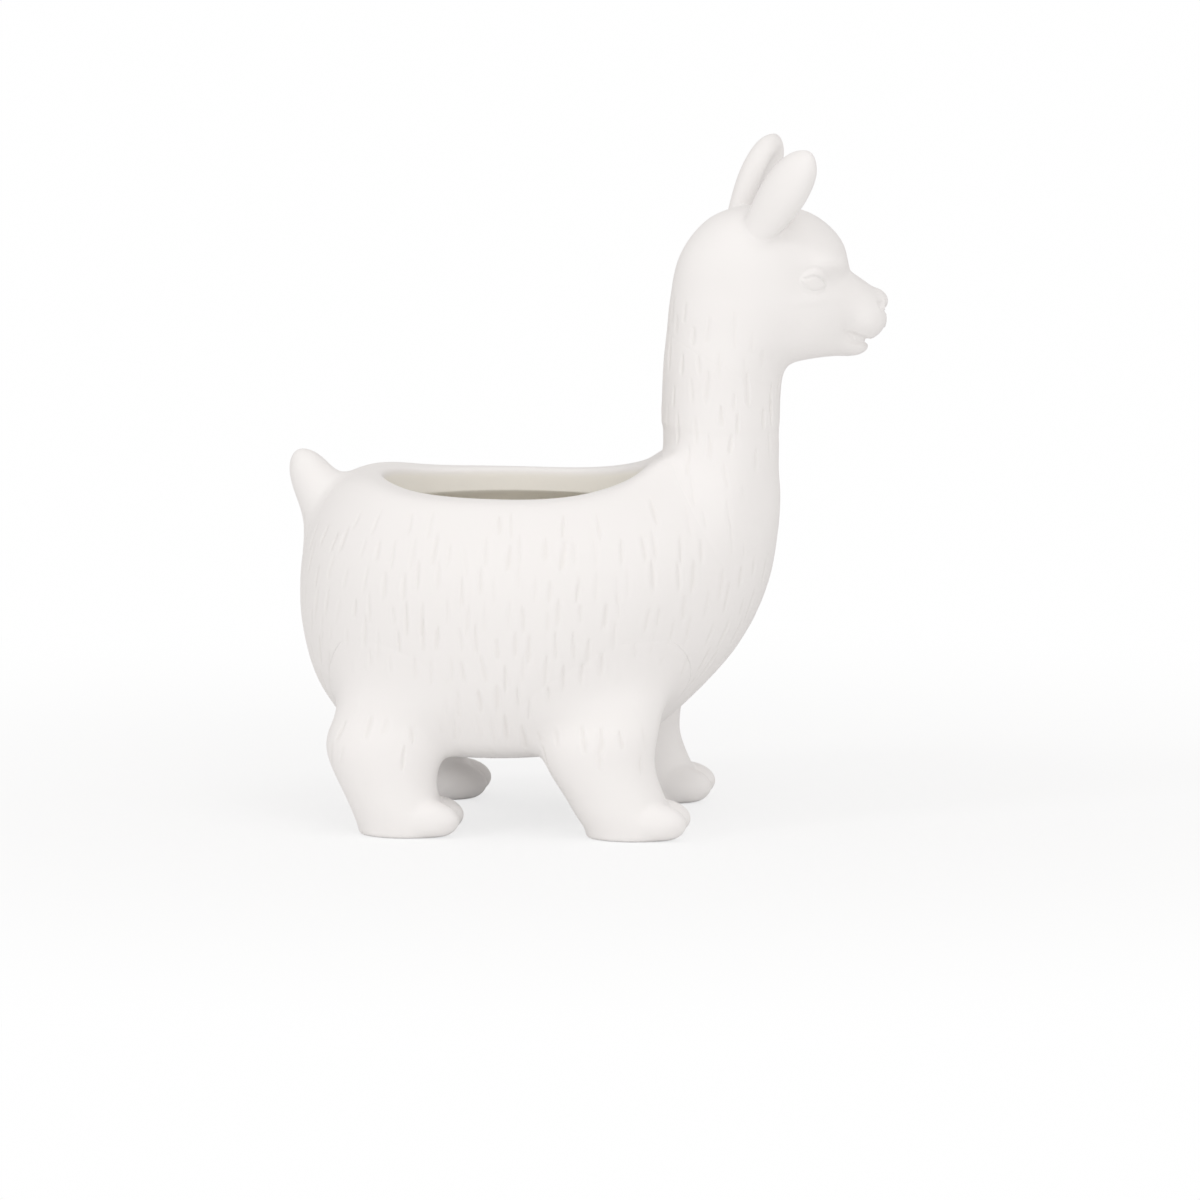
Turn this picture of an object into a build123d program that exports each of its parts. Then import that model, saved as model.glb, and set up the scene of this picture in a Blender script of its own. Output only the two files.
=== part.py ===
"""Alpaca planter in matt white ceramic.

A round-bellied pot stands on four short cloven feet and carries a neck, a head with two ears,
and a stub tail. Each cast section is its own solid. A section that is stuck on with slip has
its seat coped to the one that carries it, so that the two meet face to face.
Lengths are in millimetres. X runs from tail to nose, Y to the animal's left and Z up, from the
middle of the footprint on the surface that it stands on.
"""
from build123d import *
import math
import os

os.makedirs("parts", exist_ok=True)

# Pot
body_length = 104.0
body_width = 77.6
body_height = 63.4
belly_height = 15.6
body_middle = -10.6
wall = 4.0
floor_thickness = 5.0
neck_seat = belly_height + body_height

# Mouth of the pot, and the saddle-shaped rim around it
shoulder_width = 14.5
mouth_width = body_width - 2 * shoulder_width
mouth_length = 57.0
mouth_shift = -5.4
mouth_middle = body_middle + mouth_shift
rim_band = 5.5
rim_undercut = 2.5
rim_dip = 5.6
rump_drop = 2.6
rim_round = 1.8
drain_hole = 8.0

# Neck, with its joint to the head measured upwards from the neck's seat
neck_depth = 25.0
neck_width = 25.0
neck_inset = 12.4
neck_middle = body_middle + body_length / 2 - neck_inset
neck_height = 32.0
throat_rise = 19.6
nape_rise = 32.0

# Head, measured ahead of the neck's middle line and upwards from the neck's seat
head_turn = 18.0
skull_length = 38.6
skull_width = 26.8
skull_height = 39.8
skull_rise = 16.0
muzzle_length = 37.0
muzzle_width = 22.6
muzzle_height = 21.4
jaw_rise = 21.8

# Face
lips_ahead = 33.6
lips_rise = 25.6
lip_gap = 1.4
lip_length = 6.6
lip_curl = 1.6
eye_length = 6.0
eye_height = 4.0
eye_depth = 4.0
eye_ahead = 18.8
eye_rise = 39.6
eye_spread = 11.3
nostril_size = 2.2
nostril_spread = 2.9
nostril_rise = 33.2

# Ears
ear_length = 21.6
ear_depth = 9.8
ear_width = 10.8
ear_spread = 9.4
ear_ahead = 6.4
ear_rise = 51.2
ear_lean_out = 23.0
ear_lean_forward = 29.0
concha_share = 0.62
concha_stretch = 1.3

# Tail
tail_length = 20.4
tail_thickness = 11.8
tail_lean = 29.0
tail_drop = 16.8
tail_inset = 8.8

# Legs
leg_inset = 11.6
leg_spread = body_width / 2 - leg_inset
leg_width = 17.6
leg_height = 24.0
foot_length = 21.5
hind_leg_inset = 26.4
hind_leg_x = body_middle - body_length / 2 + hind_leg_inset
front_leg_inset = 27.0
front_leg_x = body_middle + body_length / 2 - front_leg_inset
toe_gap = 2.4
toe_depth = 5.5
toe_height = 7.5

# Points on each section's outline, the length by which a cutter passes what it cuts, and the
# upright part of a face's normal above which the face counts as level
outline_points = 14
overrun = 10.0
level_share = 0.5

# Pot sections: height, rear end, front end, half width, narrowing to the front
pot_shares = [
    (0.000, -0.300, 0.140, 0.620, 0.02),
    (0.030, -0.358, 0.200, 0.720, 0.02),
    (0.095, -0.407, 0.262, 0.810, 0.03),
    (0.200, -0.454, 0.332, 0.900, 0.04),
    (0.330, -0.486, 0.403, 0.965, 0.05),
    (0.500, -0.502, 0.463, 1.000, 0.07),
    (0.655, -0.498, 0.492, 0.985, 0.10),
    (0.780, -0.480, 0.502, 0.910, 0.15),
    (0.860, -0.457, 0.504, 0.825, 0.22),
    (0.920, -0.430, 0.493, 0.735, 0.28),
    (0.965, -0.398, 0.476, 0.620, 0.34),
    (1.040, -0.310, 0.440, 0.420, 0.38),
]

# Points of the rim from its rear end to its front end: reach, rise from its lowest height
rim_shares = [
    (0.00, 0.40),
    (0.14, 0.18),
    (0.30, 0.04),
    (0.50, 0.00),
    (0.72, 0.06),
    (0.88, 0.37),
    (1.00, 1.00),
]

# Neck sections: height, back, front, half width
neck_shares = [
    (-0.30, -0.440, 0.440, 0.56),
    (-0.10, -0.480, 0.500, 0.58),
    (0.08, -0.496, 0.506, 0.56),
    (0.30, -0.496, 0.508, 0.52),
    (0.55, -0.488, 0.520, 0.500),
    (0.80, -0.474, 0.560, 0.500),
    (1.10, -0.445, 0.540, 0.510),
    (1.40, -0.400, 0.560, 0.500),
]

# Skull sections: height, back, front, half width
skull_shares = [
    (0.00, -0.308, 0.322, 0.455),
    (0.21, -0.300, 0.385, 0.470),
    (0.41, -0.288, 0.545, 0.485),
    (0.57, -0.271, 0.690, 0.500),
    (0.69, -0.243, 0.728, 0.498),
    (0.79, -0.194, 0.700, 0.472),
    (0.88, -0.118, 0.622, 0.410),
    (0.945, -0.030, 0.530, 0.315),
    (0.985, 0.085, 0.410, 0.180),
]

# Muzzle sections: reach, underside, top, half width
muzzle_shares = [
    (0.20, 0.10, 0.97, 0.46),
    (0.45, 0.03, 0.98, 0.50),
    (0.64, 0.02, 0.95, 0.46),
    (0.76, 0.03, 0.895, 0.415),
    (0.86, 0.075, 0.805, 0.375),
    (0.93, 0.185, 0.725, 0.325),
    (0.98, 0.34, 0.655, 0.245),
    (1.00, 0.46, 0.610, 0.140),
]

# Leaf and cone stations: reach, half thickness
ear_shares = [
    (-0.25, 0.30),
    (0.00, 0.34),
    (0.25, 0.43),
    (0.48, 0.50),
    (0.72, 0.46),
    (0.89, 0.33),
    (0.98, 0.15),
]
tail_shares = [
    (-0.40, 0.54),
    (0.00, 0.52),
    (0.35, 0.48),
    (0.62, 0.42),
    (0.82, 0.32),
    (0.94, 0.20),
    (0.99, 0.08),
]
nub_shares = [
    (-0.50, 0.10),
    (-0.40, 0.30),
    (-0.20, 0.46),
    (0.00, 0.50),
    (0.20, 0.46),
    (0.40, 0.30),
    (0.50, 0.10),
]

# Leg sections: height, rear, front, half width, lean towards the middle
hind_shares = [
    (0.00, -0.40, 0.46, 0.39, 0.00),
    (0.06, -0.48, 0.53, 0.46, 0.00),
    (0.20, -0.56, 0.52, 0.49, 0.00),
    (0.38, -0.66, 0.32, 0.48, 0.00),
    (0.60, -0.78, 0.30, 0.50, 0.02),
    (0.82, -0.84, 0.36, 0.52, 0.06),
    (1.08, -0.74, 0.42, 0.48, 0.14),
    (1.50, -0.40, 0.40, 0.32, 0.36),
]
front_shares = [
    (0.00, -0.44, 0.42, 0.39, 0.00),
    (0.06, -0.53, 0.48, 0.46, 0.00),
    (0.18, -0.64, 0.44, 0.49, 0.00),
    (0.36, -0.76, 0.25, 0.48, 0.00),
    (0.66, -0.96, 0.14, 0.50, 0.02),
    (0.90, -0.98, 0.16, 0.52, 0.06),
    (1.10, -0.92, 0.18, 0.48, 0.14),
    (1.50, -0.66, 0.06, 0.32, 0.36),
]


def outline(plane, back, front, half_width, narrowing=0.0):
    """Closed smooth oval on a plane, with its ends on the plane's X axis."""
    middle, reach = (back + front) / 2, (front - back) / 2
    points = []
    for step in range(outline_points):
        turn = 2 * math.pi * step / outline_points
        side = half_width * math.sin(turn) * (1 - narrowing * math.cos(turn))
        points.append((middle + reach * math.cos(turn), side))
    with BuildSketch(plane) as oval:
        with BuildLine():
            Spline(points, periodic=True)
        make_face()
    return oval.sketch


def level(height):
    """Horizontal plane at a height above the surface that the planter stands on."""
    return Plane.XY.offset(height)


def pot_outline(shares, height, inset):
    """Section of the pot at a height, drawn in by an inset on every side."""
    rear, front, half, narrowing = shares[1:]
    back = body_middle + rear * body_length + inset
    nose = body_middle + front * body_length - inset
    return outline(level(height), back, nose, half * body_width / 2 - inset, narrowing)


def mouth_outline(height, spread):
    """Oval of the mouth at a height, let out by a spread on every side."""
    back = mouth_middle - mouth_length / 2 - spread
    front = mouth_middle + mouth_length / 2 + spread
    return outline(level(height), back, front, mouth_width / 2 + spread)


def borders(edge, face):
    """Whether an edge is one of a face's own edges."""
    return any(edge.is_same(other) for other in face.edges())


def leaf(origin, axis, across, shares, length, width, depth):
    """Sections of a plump closed form along an axis, from stations of reach and thickness."""
    sections = []
    for reach, thickness in shares:
        plane = Plane(origin=origin + axis * (reach * length), x_dir=across, z_dir=axis)
        sections.append(outline(plane, -thickness * width, thickness * width, thickness * depth))
    return sections


rim_low = neck_seat - rim_dip
rump_x = body_middle - body_length / 2
rump_height = rim_low - rump_drop
rim_back_x = mouth_middle - mouth_length / 2 - wall
rim_front_x = mouth_middle + mouth_length / 2 + wall
hollow_floor = belly_height + floor_thickness
shoulder_underside = rim_low - rim_band

# Saddle of the rim, seen from the side: everything above it is cut away
with BuildSketch(Plane.XZ) as saddle:
    with BuildLine():
        sky = neck_seat + body_height
        rear_x = body_middle - body_length
        front_x = body_middle + body_length
        crest = [(rump_x, rump_height)]
        for reach, rise in rim_shares:
            crest.append((rim_back_x + reach * (rim_front_x - rim_back_x), rim_low + rise * rim_dip))
        curve = Spline(crest)
        corners = [(front_x, neck_seat), (front_x, sky), (rear_x, sky), (rear_x, rump_height)]
        Polyline(curve @ 1, *corners, curve @ 0)
    make_face()

# Outer form of the pot, on which every stuck-on section is seated
with BuildPart() as pot_form:
    loft([pot_outline(row, belly_height + row[0] * body_height, 0) for row in pot_shares])
    extrude(saddle.sketch, amount=body_width, both=True, mode=Mode.SUBTRACT)

# Pot: the outer form, hollowed to an even wall, with a lip that overhangs the hollow
with BuildPart() as pot:
    add(pot_form.part)
    belly_rows = pot_shares[2:8]
    lowest, highest = belly_rows[0][0], pot_shares[8][0]
    sections = []
    for row in belly_rows:
        rise = (row[0] - lowest) / (highest - lowest)
        height = hollow_floor + rise * (shoulder_underside - hollow_floor)
        sections.append(pot_outline(row, height, wall))
    sections.append(mouth_outline(shoulder_underside, rim_undercut))
    loft(sections, mode=Mode.SUBTRACT)
    extrude(mouth_outline(shoulder_underside, 0), amount=body_height, mode=Mode.SUBTRACT)
    with Locations((mouth_middle, 0, belly_height)):
        Cylinder(drain_hole / 2, 2 * floor_thickness + overrun, mode=Mode.SUBTRACT)
    swept_faces = pot.faces().filter_by(GeomType.EXTRUSION)
    mouth_wall = swept_faces.sort_by(lambda face: abs(face.normal_at().Z))[0]
    outer_skin = pot.faces().filter_by(GeomType.BSPLINE).sort_by(SortBy.AREA)[-1]
    rim_edges = []
    for face in swept_faces.filter_by(lambda face: face.normal_at().Z > level_share):
        for edge in face.edges():
            if borders(edge, mouth_wall) or borders(edge, outer_skin):
                rim_edges.append(edge)
    fillet(rim_edges, rim_round)
pot.part.label = "pot_body"
export_step(pot.part, "parts/pot_body.step")

# Slanted joint between neck and head, from the throat up to the nape
throat = Vector(neck_middle + neck_depth / 2, 0, neck_seat + throat_rise)
nape = Vector(neck_middle - neck_depth / 2, 0, neck_seat + nape_rise)
slope = throat - nape
joint = Plane(origin=(throat + nape) / 2, x_dir=slope, z_dir=slope.cross(Vector(0, 1, 0)))

# Neck: a column that flares on to the shoulders, coped to the pot
with BuildPart() as neck:
    sections = []
    for rise, back, front, half in neck_shares:
        back_x = neck_middle + back * neck_depth
        front_x = neck_middle + front * neck_depth
        plane = level(neck_seat + rise * neck_height)
        sections.append(outline(plane, back_x, front_x, half * neck_width))
    loft(sections)
    split(bisect_by=joint, keep=Keep.BOTTOM)
    add(pot_form.part, mode=Mode.SUBTRACT)
neck.part.label = "neck"
export_step(neck.part, "parts/neck.step")

# Head: a domed skull and a tapering muzzle that look a little to the animal's left
gaze = Vector(math.cos(math.radians(head_turn)), math.sin(math.radians(head_turn)), 0)
side = Vector(-gaze.Y, gaze.X, 0)
up = Vector(0, 0, 1)
pivot = Vector(neck_middle, 0, neck_seat)
with BuildPart() as head:
    sections = []
    for rise, back, front, half in skull_shares:
        plane = Plane(origin=pivot + up * (skull_rise + rise * skull_height), x_dir=gaze, z_dir=up)
        sections.append(outline(plane, back * skull_length, front * skull_length, half * skull_width))
    loft(sections)
    sections = []
    for reach, under, over, half in muzzle_shares:
        station = pivot + gaze * (reach * muzzle_length) + up * jaw_rise
        plane = Plane(origin=station, x_dir=up, z_dir=gaze)
        low, high = under * muzzle_height, over * muzzle_height
        sections.append(outline(plane, low, high, half * muzzle_width))
    loft(sections)
    split(bisect_by=joint, keep=Keep.TOP)
    for hand in (-1, 1):
        eye = pivot + gaze * eye_ahead + side * (hand * eye_spread) + up * eye_rise
        loft(leaf(eye, gaze, up, nub_shares, eye_length, eye_height, eye_depth))
        nostril = pivot + gaze * muzzle_length + side * (hand * nostril_spread) + up * nostril_rise
        sections = leaf(nostril, gaze, up, nub_shares, nostril_size, nostril_size, nostril_size)
        loft(sections, mode=Mode.SUBTRACT)
    with BuildSketch(Plane(origin=pivot, x_dir=gaze, z_dir=-side)):
        with BuildLine():
            ahead = muzzle_length + overrun
            corner = (lips_ahead - lip_length, lips_rise + lip_curl)
            Polyline((ahead, lips_rise - lip_gap), corner, (ahead, lips_rise), close=True)
        make_face()
    extrude(amount=muzzle_width, both=True, mode=Mode.SUBTRACT)
head.part.label = "head"
export_step(head.part, "parts/head.step")

# Ears: plump leaves that lean out and forward, each with a scooped front
for name, hand in (("left_ear", 1), ("right_ear", -1)):
    lean_out = math.tan(math.radians(ear_lean_out))
    lean_forward = math.tan(math.radians(ear_lean_forward))
    axis = (up + gaze * lean_forward + side * (hand * lean_out)).normalized()
    ahead = (gaze - axis * gaze.dot(axis)).normalized()
    base = pivot + gaze * ear_ahead + side * (hand * ear_spread) + up * ear_rise
    with BuildPart() as ear:
        loft(leaf(base, axis, axis.cross(ahead), ear_shares, ear_length, ear_width, ear_depth))
        scoop = base + ahead * (ear_depth / 2) + axis * (ear_length / 2)
        scoop_length = ear_length * concha_share * concha_stretch
        scoop_size = (scoop_length, ear_width * concha_share, ear_depth * concha_share)
        loft(leaf(scoop, axis, axis.cross(ahead), nub_shares, *scoop_size), mode=Mode.SUBTRACT)
        add(head.part, mode=Mode.SUBTRACT)
    ear.part.label = name
    export_step(ear.part, f"parts/{name}.step")

# Tail: a stub cone that points up and back from the rump
with BuildPart() as tail:
    lean = math.radians(tail_lean)
    axis = Vector(-math.sin(lean), 0, math.cos(lean))
    base = Vector(body_middle - body_length / 2 + tail_inset, 0, neck_seat - tail_drop)
    loft(leaf(base, axis, Vector(0, 1, 0), tail_shares, tail_length, tail_thickness, tail_thickness))
    add(pot_form.part, mode=Mode.SUBTRACT)
tail.part.label = "tail"
export_step(tail.part, "parts/tail.step")

# Legs: one form for the hind pair and one for the front pair, coped to the pot, with split toes
for name, hand, middle, shares in (
    ("left_hind_leg", 1, hind_leg_x, hind_shares),
    ("right_hind_leg", -1, hind_leg_x, hind_shares),
    ("left_front_leg", 1, front_leg_x, front_shares),
    ("right_front_leg", -1, front_leg_x, front_shares),
):
    toe_tip = middle + shares[2][2] * foot_length
    with BuildPart() as leg:
        sections = []
        for rise, rear, front, half, lean in shares:
            plane = Plane(origin=(middle, hand * (leg_spread - lean * leg_width), rise * leg_height))
            sections.append(outline(plane, rear * foot_length, front * foot_length, half * leg_width))
        loft(sections)
        add(pot_form.part, mode=Mode.SUBTRACT)
        with BuildSketch():
            with BuildLine():
                Polyline(
                    (toe_tip - toe_depth, hand * leg_spread),
                    (toe_tip + overrun, hand * leg_spread - toe_gap),
                    (toe_tip + overrun, hand * leg_spread + toe_gap),
                    close=True,
                )
            make_face()
        extrude(amount=toe_height, mode=Mode.SUBTRACT)
    leg.part.label = name
    export_step(leg.part, f"parts/{name}.step")
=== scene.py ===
"""Alpaca planter in matt bisque ceramic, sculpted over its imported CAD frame.

Every section of the animal is a smooth field: a function of space that is below zero inside the
clay. Sections flow into each other through smooth unions of their fields, as slip-cast sections
do once their seams are sponged down. A section's mesh is a grid of rays that are cast from inside
it to where the field crosses zero, so that neighbours meet on one and the same surface.
Lengths are millimetres in the CAD frame (X to the nose, Y to the animal's left, Z up) until a
mesh is made, which is in metres.
"""

import logging
import math
from dataclasses import dataclass
from enum import Enum
from functools import partial
from typing import Callable, Sequence

import bpy
import numpy as np
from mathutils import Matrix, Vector


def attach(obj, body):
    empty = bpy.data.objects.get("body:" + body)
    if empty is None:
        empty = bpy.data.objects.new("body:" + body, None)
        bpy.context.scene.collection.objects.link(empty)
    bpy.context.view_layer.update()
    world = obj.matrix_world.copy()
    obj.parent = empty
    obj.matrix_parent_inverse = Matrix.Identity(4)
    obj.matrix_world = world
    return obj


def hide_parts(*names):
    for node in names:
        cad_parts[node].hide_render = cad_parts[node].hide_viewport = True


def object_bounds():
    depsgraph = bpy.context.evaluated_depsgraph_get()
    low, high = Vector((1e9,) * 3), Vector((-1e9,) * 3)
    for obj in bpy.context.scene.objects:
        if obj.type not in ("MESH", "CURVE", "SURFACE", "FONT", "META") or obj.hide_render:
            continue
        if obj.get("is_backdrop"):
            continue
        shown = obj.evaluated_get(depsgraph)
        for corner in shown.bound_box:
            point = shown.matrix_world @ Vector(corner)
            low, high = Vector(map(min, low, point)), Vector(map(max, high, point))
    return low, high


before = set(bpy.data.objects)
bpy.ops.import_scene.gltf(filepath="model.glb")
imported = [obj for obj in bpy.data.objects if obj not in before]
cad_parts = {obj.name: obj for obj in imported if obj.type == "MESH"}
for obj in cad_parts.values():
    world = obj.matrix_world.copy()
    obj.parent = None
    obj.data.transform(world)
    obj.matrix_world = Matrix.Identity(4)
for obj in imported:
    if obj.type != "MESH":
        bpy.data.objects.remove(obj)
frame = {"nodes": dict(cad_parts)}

Array = np.ndarray
Field = Callable[[Array], Array]

MM = 0.001
SEED = 20
BODY = "root"
UP = np.array([0.0, 0.0, 1.0])
DOWNWARDS = np.array([[1.0, 0.0, 0.0], [0.0, 1.0, 0.0], [0.0, 0.0, -1.0]])
FLEECE_CHUNK = 4000

log = logging.getLogger("planter")


class Side(Enum):
    """The two sides of the animal, as the sign of Y."""

    LEFT = 1
    RIGHT = -1


class Pair(Enum):
    """The two pairs of legs."""

    HIND = "hind"
    FRONT = "front"


def unit(vectors: Array) -> Array:
    """Scales vectors to length one.

    Args:
        vectors: (..., 3) vectors.

    Returns:
        (..., 3) unit vectors.
    """
    return vectors / np.maximum(np.linalg.norm(vectors, axis=-1, keepdims=True), 1e-9)


def ramp(values: Array, start: float, end: float) -> Array:
    """Eased step: 0 at start, 1 at end, and 3t^2 - 2t^3 between them.

    Args:
        values: Where it is read.
        start: Where it leaves 0.
        end: Where it reaches 1.

    Returns:
        Values from 0 to 1.
    """
    share = np.clip((values - start) / (end - start), 0.0, 1.0)
    return share * share * (3.0 - 2.0 * share)


def bump(values: Array, centre: float, width: float) -> Array:
    """Bell curve exp(-((v - centre) / width)^2).

    Args:
        values: Where it is read.
        centre: Place of the top.
        width: Distance at which it has fallen to 1/e.

    Returns:
        Values from 0 to 1.
    """
    return np.exp(-(((values - centre) / width) ** 2))


def join(first: Array, second: Array, blend: Array | float) -> Array:
    """Smooth union: the smaller field, less a cubic fillet where the two are within blend.

    Args:
        first: Values of one field.
        second: Values of the other.
        blend: Width of the fillet in millimetres.

    Returns:
        Values of the union.
    """
    overlap = np.maximum(blend - np.abs(first - second), 0.0) / blend
    return np.minimum(first, second) - overlap**3 * blend / 6.0


def cut(first: Array, second: Array, blend: Array | float) -> Array:
    """Smooth intersection, with the edge rounded where the two fields are within blend.

    Args:
        first: Values of one field.
        second: Values of the other.
        blend: Width of the rounding in millimetres.

    Returns:
        Values of the intersection.
    """
    return -join(-first, -second, blend)


class Curve:
    """Natural cubic spline through rows of values, with continuous curvature."""

    def __init__(self, knots: Sequence[float], values: Array) -> None:
        """Solves the spline's second derivatives.

        Args:
            knots: Rising parameter values.
            values: (knots, columns) values to pass through.
        """
        self.knots = np.asarray(knots, float)
        self.values = np.asarray(values, float)
        gaps = np.diff(self.knots)
        count = len(self.knots)
        matrix = np.eye(count)
        right = np.zeros_like(self.values)
        inner = np.arange(1, count - 1)
        matrix[inner, inner - 1] = gaps[:-1]
        matrix[inner, inner] = 2.0 * (gaps[:-1] + gaps[1:])
        matrix[inner, inner + 1] = gaps[1:]
        slopes = np.diff(self.values, axis=0) / gaps[:, None]
        right[1:-1] = 6.0 * np.diff(slopes, axis=0)
        self.bends = np.linalg.solve(matrix, right)

    def __call__(self, places: Array) -> Array:
        """Reads the spline.

        Args:
            places: (n,) parameter values, held to the knots' range.

        Returns:
            (n, columns) values.
        """
        places = np.clip(places, self.knots[0], self.knots[-1])
        index = np.searchsorted(self.knots, places, side="right") - 1
        index = np.clip(index, 0, len(self.knots) - 2)
        gap = self.knots[index + 1] - self.knots[index]
        low = ((self.knots[index + 1] - places) / gap)[:, None]
        high = 1.0 - low
        bend = (low**3 - low) * self.bends[index] + (high**3 - high) * self.bends[index + 1]
        chord = low * self.values[index] + high * self.values[index + 1]
        return chord + bend * (gap**2)[:, None] / 6.0


class Stack:
    """Field of a form whose sections along an axis are ovals.

    A section at height w runs from back to front along the first axis and to half on either side
    of it: u = middle + reach cos t, v = shift + half sin t (1 - narrowing cos t). The field is the
    distance to the section's edge along its radius, corrected by the form's slope along the axis.
    """

    def __init__(
        self,
        rows: Sequence[Sequence[float]],
        origin: Sequence[float] = (0.0, 0.0, 0.0),
        axes: Array | None = None,
        domed: bool = False,
    ) -> None:
        """Fits a spline through the sections.

        Args:
            rows: Height, back, front, half width, narrowing and shift of each section, rising.
            origin: Point that the sections are measured from.
            axes: Rows are the directions of u, v and w.
            domed: Whether the top closes as a dome just above the last section.
        """
        table = np.array([list(row) + [0.0] * (6 - len(row)) for row in rows], float)
        self.origin = np.asarray(origin, float)
        self.axes = np.eye(3) if axes is None else np.asarray(axes, float)
        self.bottom, self.top = table[0, 0], table[-1, 0]
        self.domed = domed
        if domed:
            knots = np.sqrt((self.top - table[:, 0]) / (self.top - self.bottom))
            self.curve = Curve(knots[::-1], table[::-1, 1:])
        else:
            self.curve = Curve(table[:, 0], table[:, 1:])

    def _radial(self, u: Array, v: Array, w: Array) -> Array:
        """Signed distance to the section's edge along its radius.

        Args:
            u: Place along the section.
            v: Place across it.
            w: Height of the section.

        Returns:
            Distances, below zero inside.
        """
        if self.domed:
            share = np.clip((self.top - w) / (self.top - self.bottom), 0.0, 1.0)
            back, front, half, narrowing, shift = self.curve(np.sqrt(share)).T
        else:
            back, front, half, narrowing, shift = self.curve(w).T
        middle = (back + front) / 2.0
        reach = np.maximum((front - back) / 2.0, 1e-4)
        half = np.maximum(half, 1e-4)
        along = (u - middle) / reach
        across = (v - shift) / (half * (1.0 - narrowing * np.clip(along, -1.0, 1.0)))
        ratio = np.hypot(along, across)
        length = np.hypot(u - middle, v - shift)
        radius = np.where(ratio < 1e-4, np.minimum(reach, half), length / np.maximum(ratio, 1e-4))
        return length - radius

    def __call__(self, points: Array) -> Array:
        """Reads the field.

        Args:
            points: (n, 3) points.

        Returns:
            (n,) distances, below zero inside.
        """
        u, v, w = ((points - self.origin) @ self.axes.T).T
        value = self._radial(u, v, w)
        step = 0.08
        slope = (self._radial(u, v, w + step) - self._radial(u, v, w - step)) / (2.0 * step)
        value = value / np.sqrt(1.0 + np.minimum(slope**2, 1e4))
        over = np.maximum(np.maximum(w - self.top, self.bottom - w), 0.0)
        return np.where(over > 0.0, np.hypot(np.maximum(value, 0.0), over), value)


@dataclass(frozen=True)
class Ellipsoid:
    """Field of an ellipsoid, by the usual first-order distance.

    Attributes:
        centre: Its middle.
        radii: Its half lengths along its axes.
        axes: Rows are the directions of its axes.
    """

    centre: tuple[float, float, float]
    radii: tuple[float, float, float]
    axes: Array

    def __call__(self, points: Array) -> Array:
        """Reads the field.

        Args:
            points: (n, 3) points.

        Returns:
            (n,) distances, below zero inside.
        """
        local = (points - np.asarray(self.centre)) @ self.axes.T
        radii = np.asarray(self.radii)
        near = np.linalg.norm(local / radii, axis=1)
        far = np.linalg.norm(local / radii**2, axis=1)
        return near * (near - 1.0) / np.maximum(far, 1e-6)


def line_distance(points: Array, line: Array) -> Array:
    """Distance to a polyline.

    Args:
        points: (n, 2) points.
        line: (m, 2) corners.

    Returns:
        (n,) distances.
    """
    nearest = np.full(len(points), np.inf)
    for first, second in zip(line, line[1:]):
        way = second - first
        share = np.clip((points - first) @ way / (way @ way), 0.0, 1.0)
        gap = np.linalg.norm(points - first - share[:, None] * way, axis=1)
        nearest = np.minimum(nearest, gap)
    return nearest


def slope_of(field: Field, points: Array, step: float = 0.04) -> Array:
    """Gradient of a field by central differences.

    Args:
        field: The field.
        points: (n, 3) points.
        step: Half the distance between the two readings.

    Returns:
        (n, 3) gradients.
    """
    shifts = np.concatenate([np.eye(3), -np.eye(3)]) * step
    around = (points[None, :, :] + shifts[:, None, :]).reshape(-1, 3)
    values = field(around).reshape(6, -1)
    return ((values[:3] - values[3:]) / (2.0 * step)).T


def settle(field: Field, points: Array, turns: int = 7, stride: float = 2.0) -> Array:
    """Moves points on to a field's zero surface by Newton steps along its gradient.

    Args:
        field: The field.
        points: (..., 3) points near the surface.
        turns: Number of steps.
        stride: Longest step.

    Returns:
        (..., 3) points on the surface.
    """
    shape = points.shape
    points = points.reshape(-1, 3).copy()
    for _ in range(turns):
        slope = slope_of(field, points)
        move = field(points) / np.maximum((slope**2).sum(1), 0.05)
        points -= np.clip(move, -stride, stride)[:, None] * slope
    return points.reshape(shape)


def cast(field: Field, origins: Array, directions: Array, reach: float, steps: int = 26) -> Array:
    """Finds where rays that start inside a form first leave it.

    Args:
        field: The form's field.
        origins: (..., 3) starting points.
        directions: (..., 3) unit directions.
        reach: Longest ray.
        steps: Number of readings along a ray before the crossing is closed in on.

    Returns:
        (..., 3) points where the field crosses zero.
    """
    shape = directions.shape
    origins = np.broadcast_to(origins, shape).reshape(-1, 3)
    directions = directions.reshape(-1, 3)
    stride = reach / steps
    high = np.full(len(directions), reach)
    value_low = np.full(len(directions), -1.0)
    value_high = np.full(len(directions), 1.0)
    open_rays = np.arange(len(directions))
    for step in range(1, steps + 1):
        value = field(origins[open_rays] + directions[open_rays] * (step * stride))
        outside = value > 0.0
        high[open_rays[outside]] = step * stride
        value_high[open_rays[outside]] = value[outside]
        open_rays = open_rays[~outside]
        value_low[open_rays] = value[~outside]
        if not len(open_rays):
            break
    low = high - stride
    for turn in range(7):
        # Halving and false position by turns, so that neither a kink nor a slow root holds it up
        share = 0.5
        if turn not in (0, 1, 3):
            share = np.clip(value_low / (value_low - value_high), 0.03, 0.97)
        middle = low + share * (high - low)
        value = field(origins + directions * middle[:, None])
        outside = value > 0.0
        high = np.where(outside, middle, high)
        value_high = np.where(outside, value, value_high)
        low = np.where(outside, low, middle)
        value_low = np.where(outside, value_low, value)
    middle = low + (high - low) * value_low / (value_low - value_high)
    return (origins + directions * middle[:, None]).reshape(shape)


def turned_axes(turn: float) -> Array:
    """Directions ahead, to the left and up of a form that is turned to the left.

    Args:
        turn: Angle in degrees.

    Returns:
        (3, 3) rows of unit vectors.
    """
    angle = math.radians(turn)
    ahead = [math.cos(angle), math.sin(angle), 0.0]
    return np.array([ahead, [-ahead[1], ahead[0], 0.0], [0.0, 0.0, 1.0]])


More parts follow.
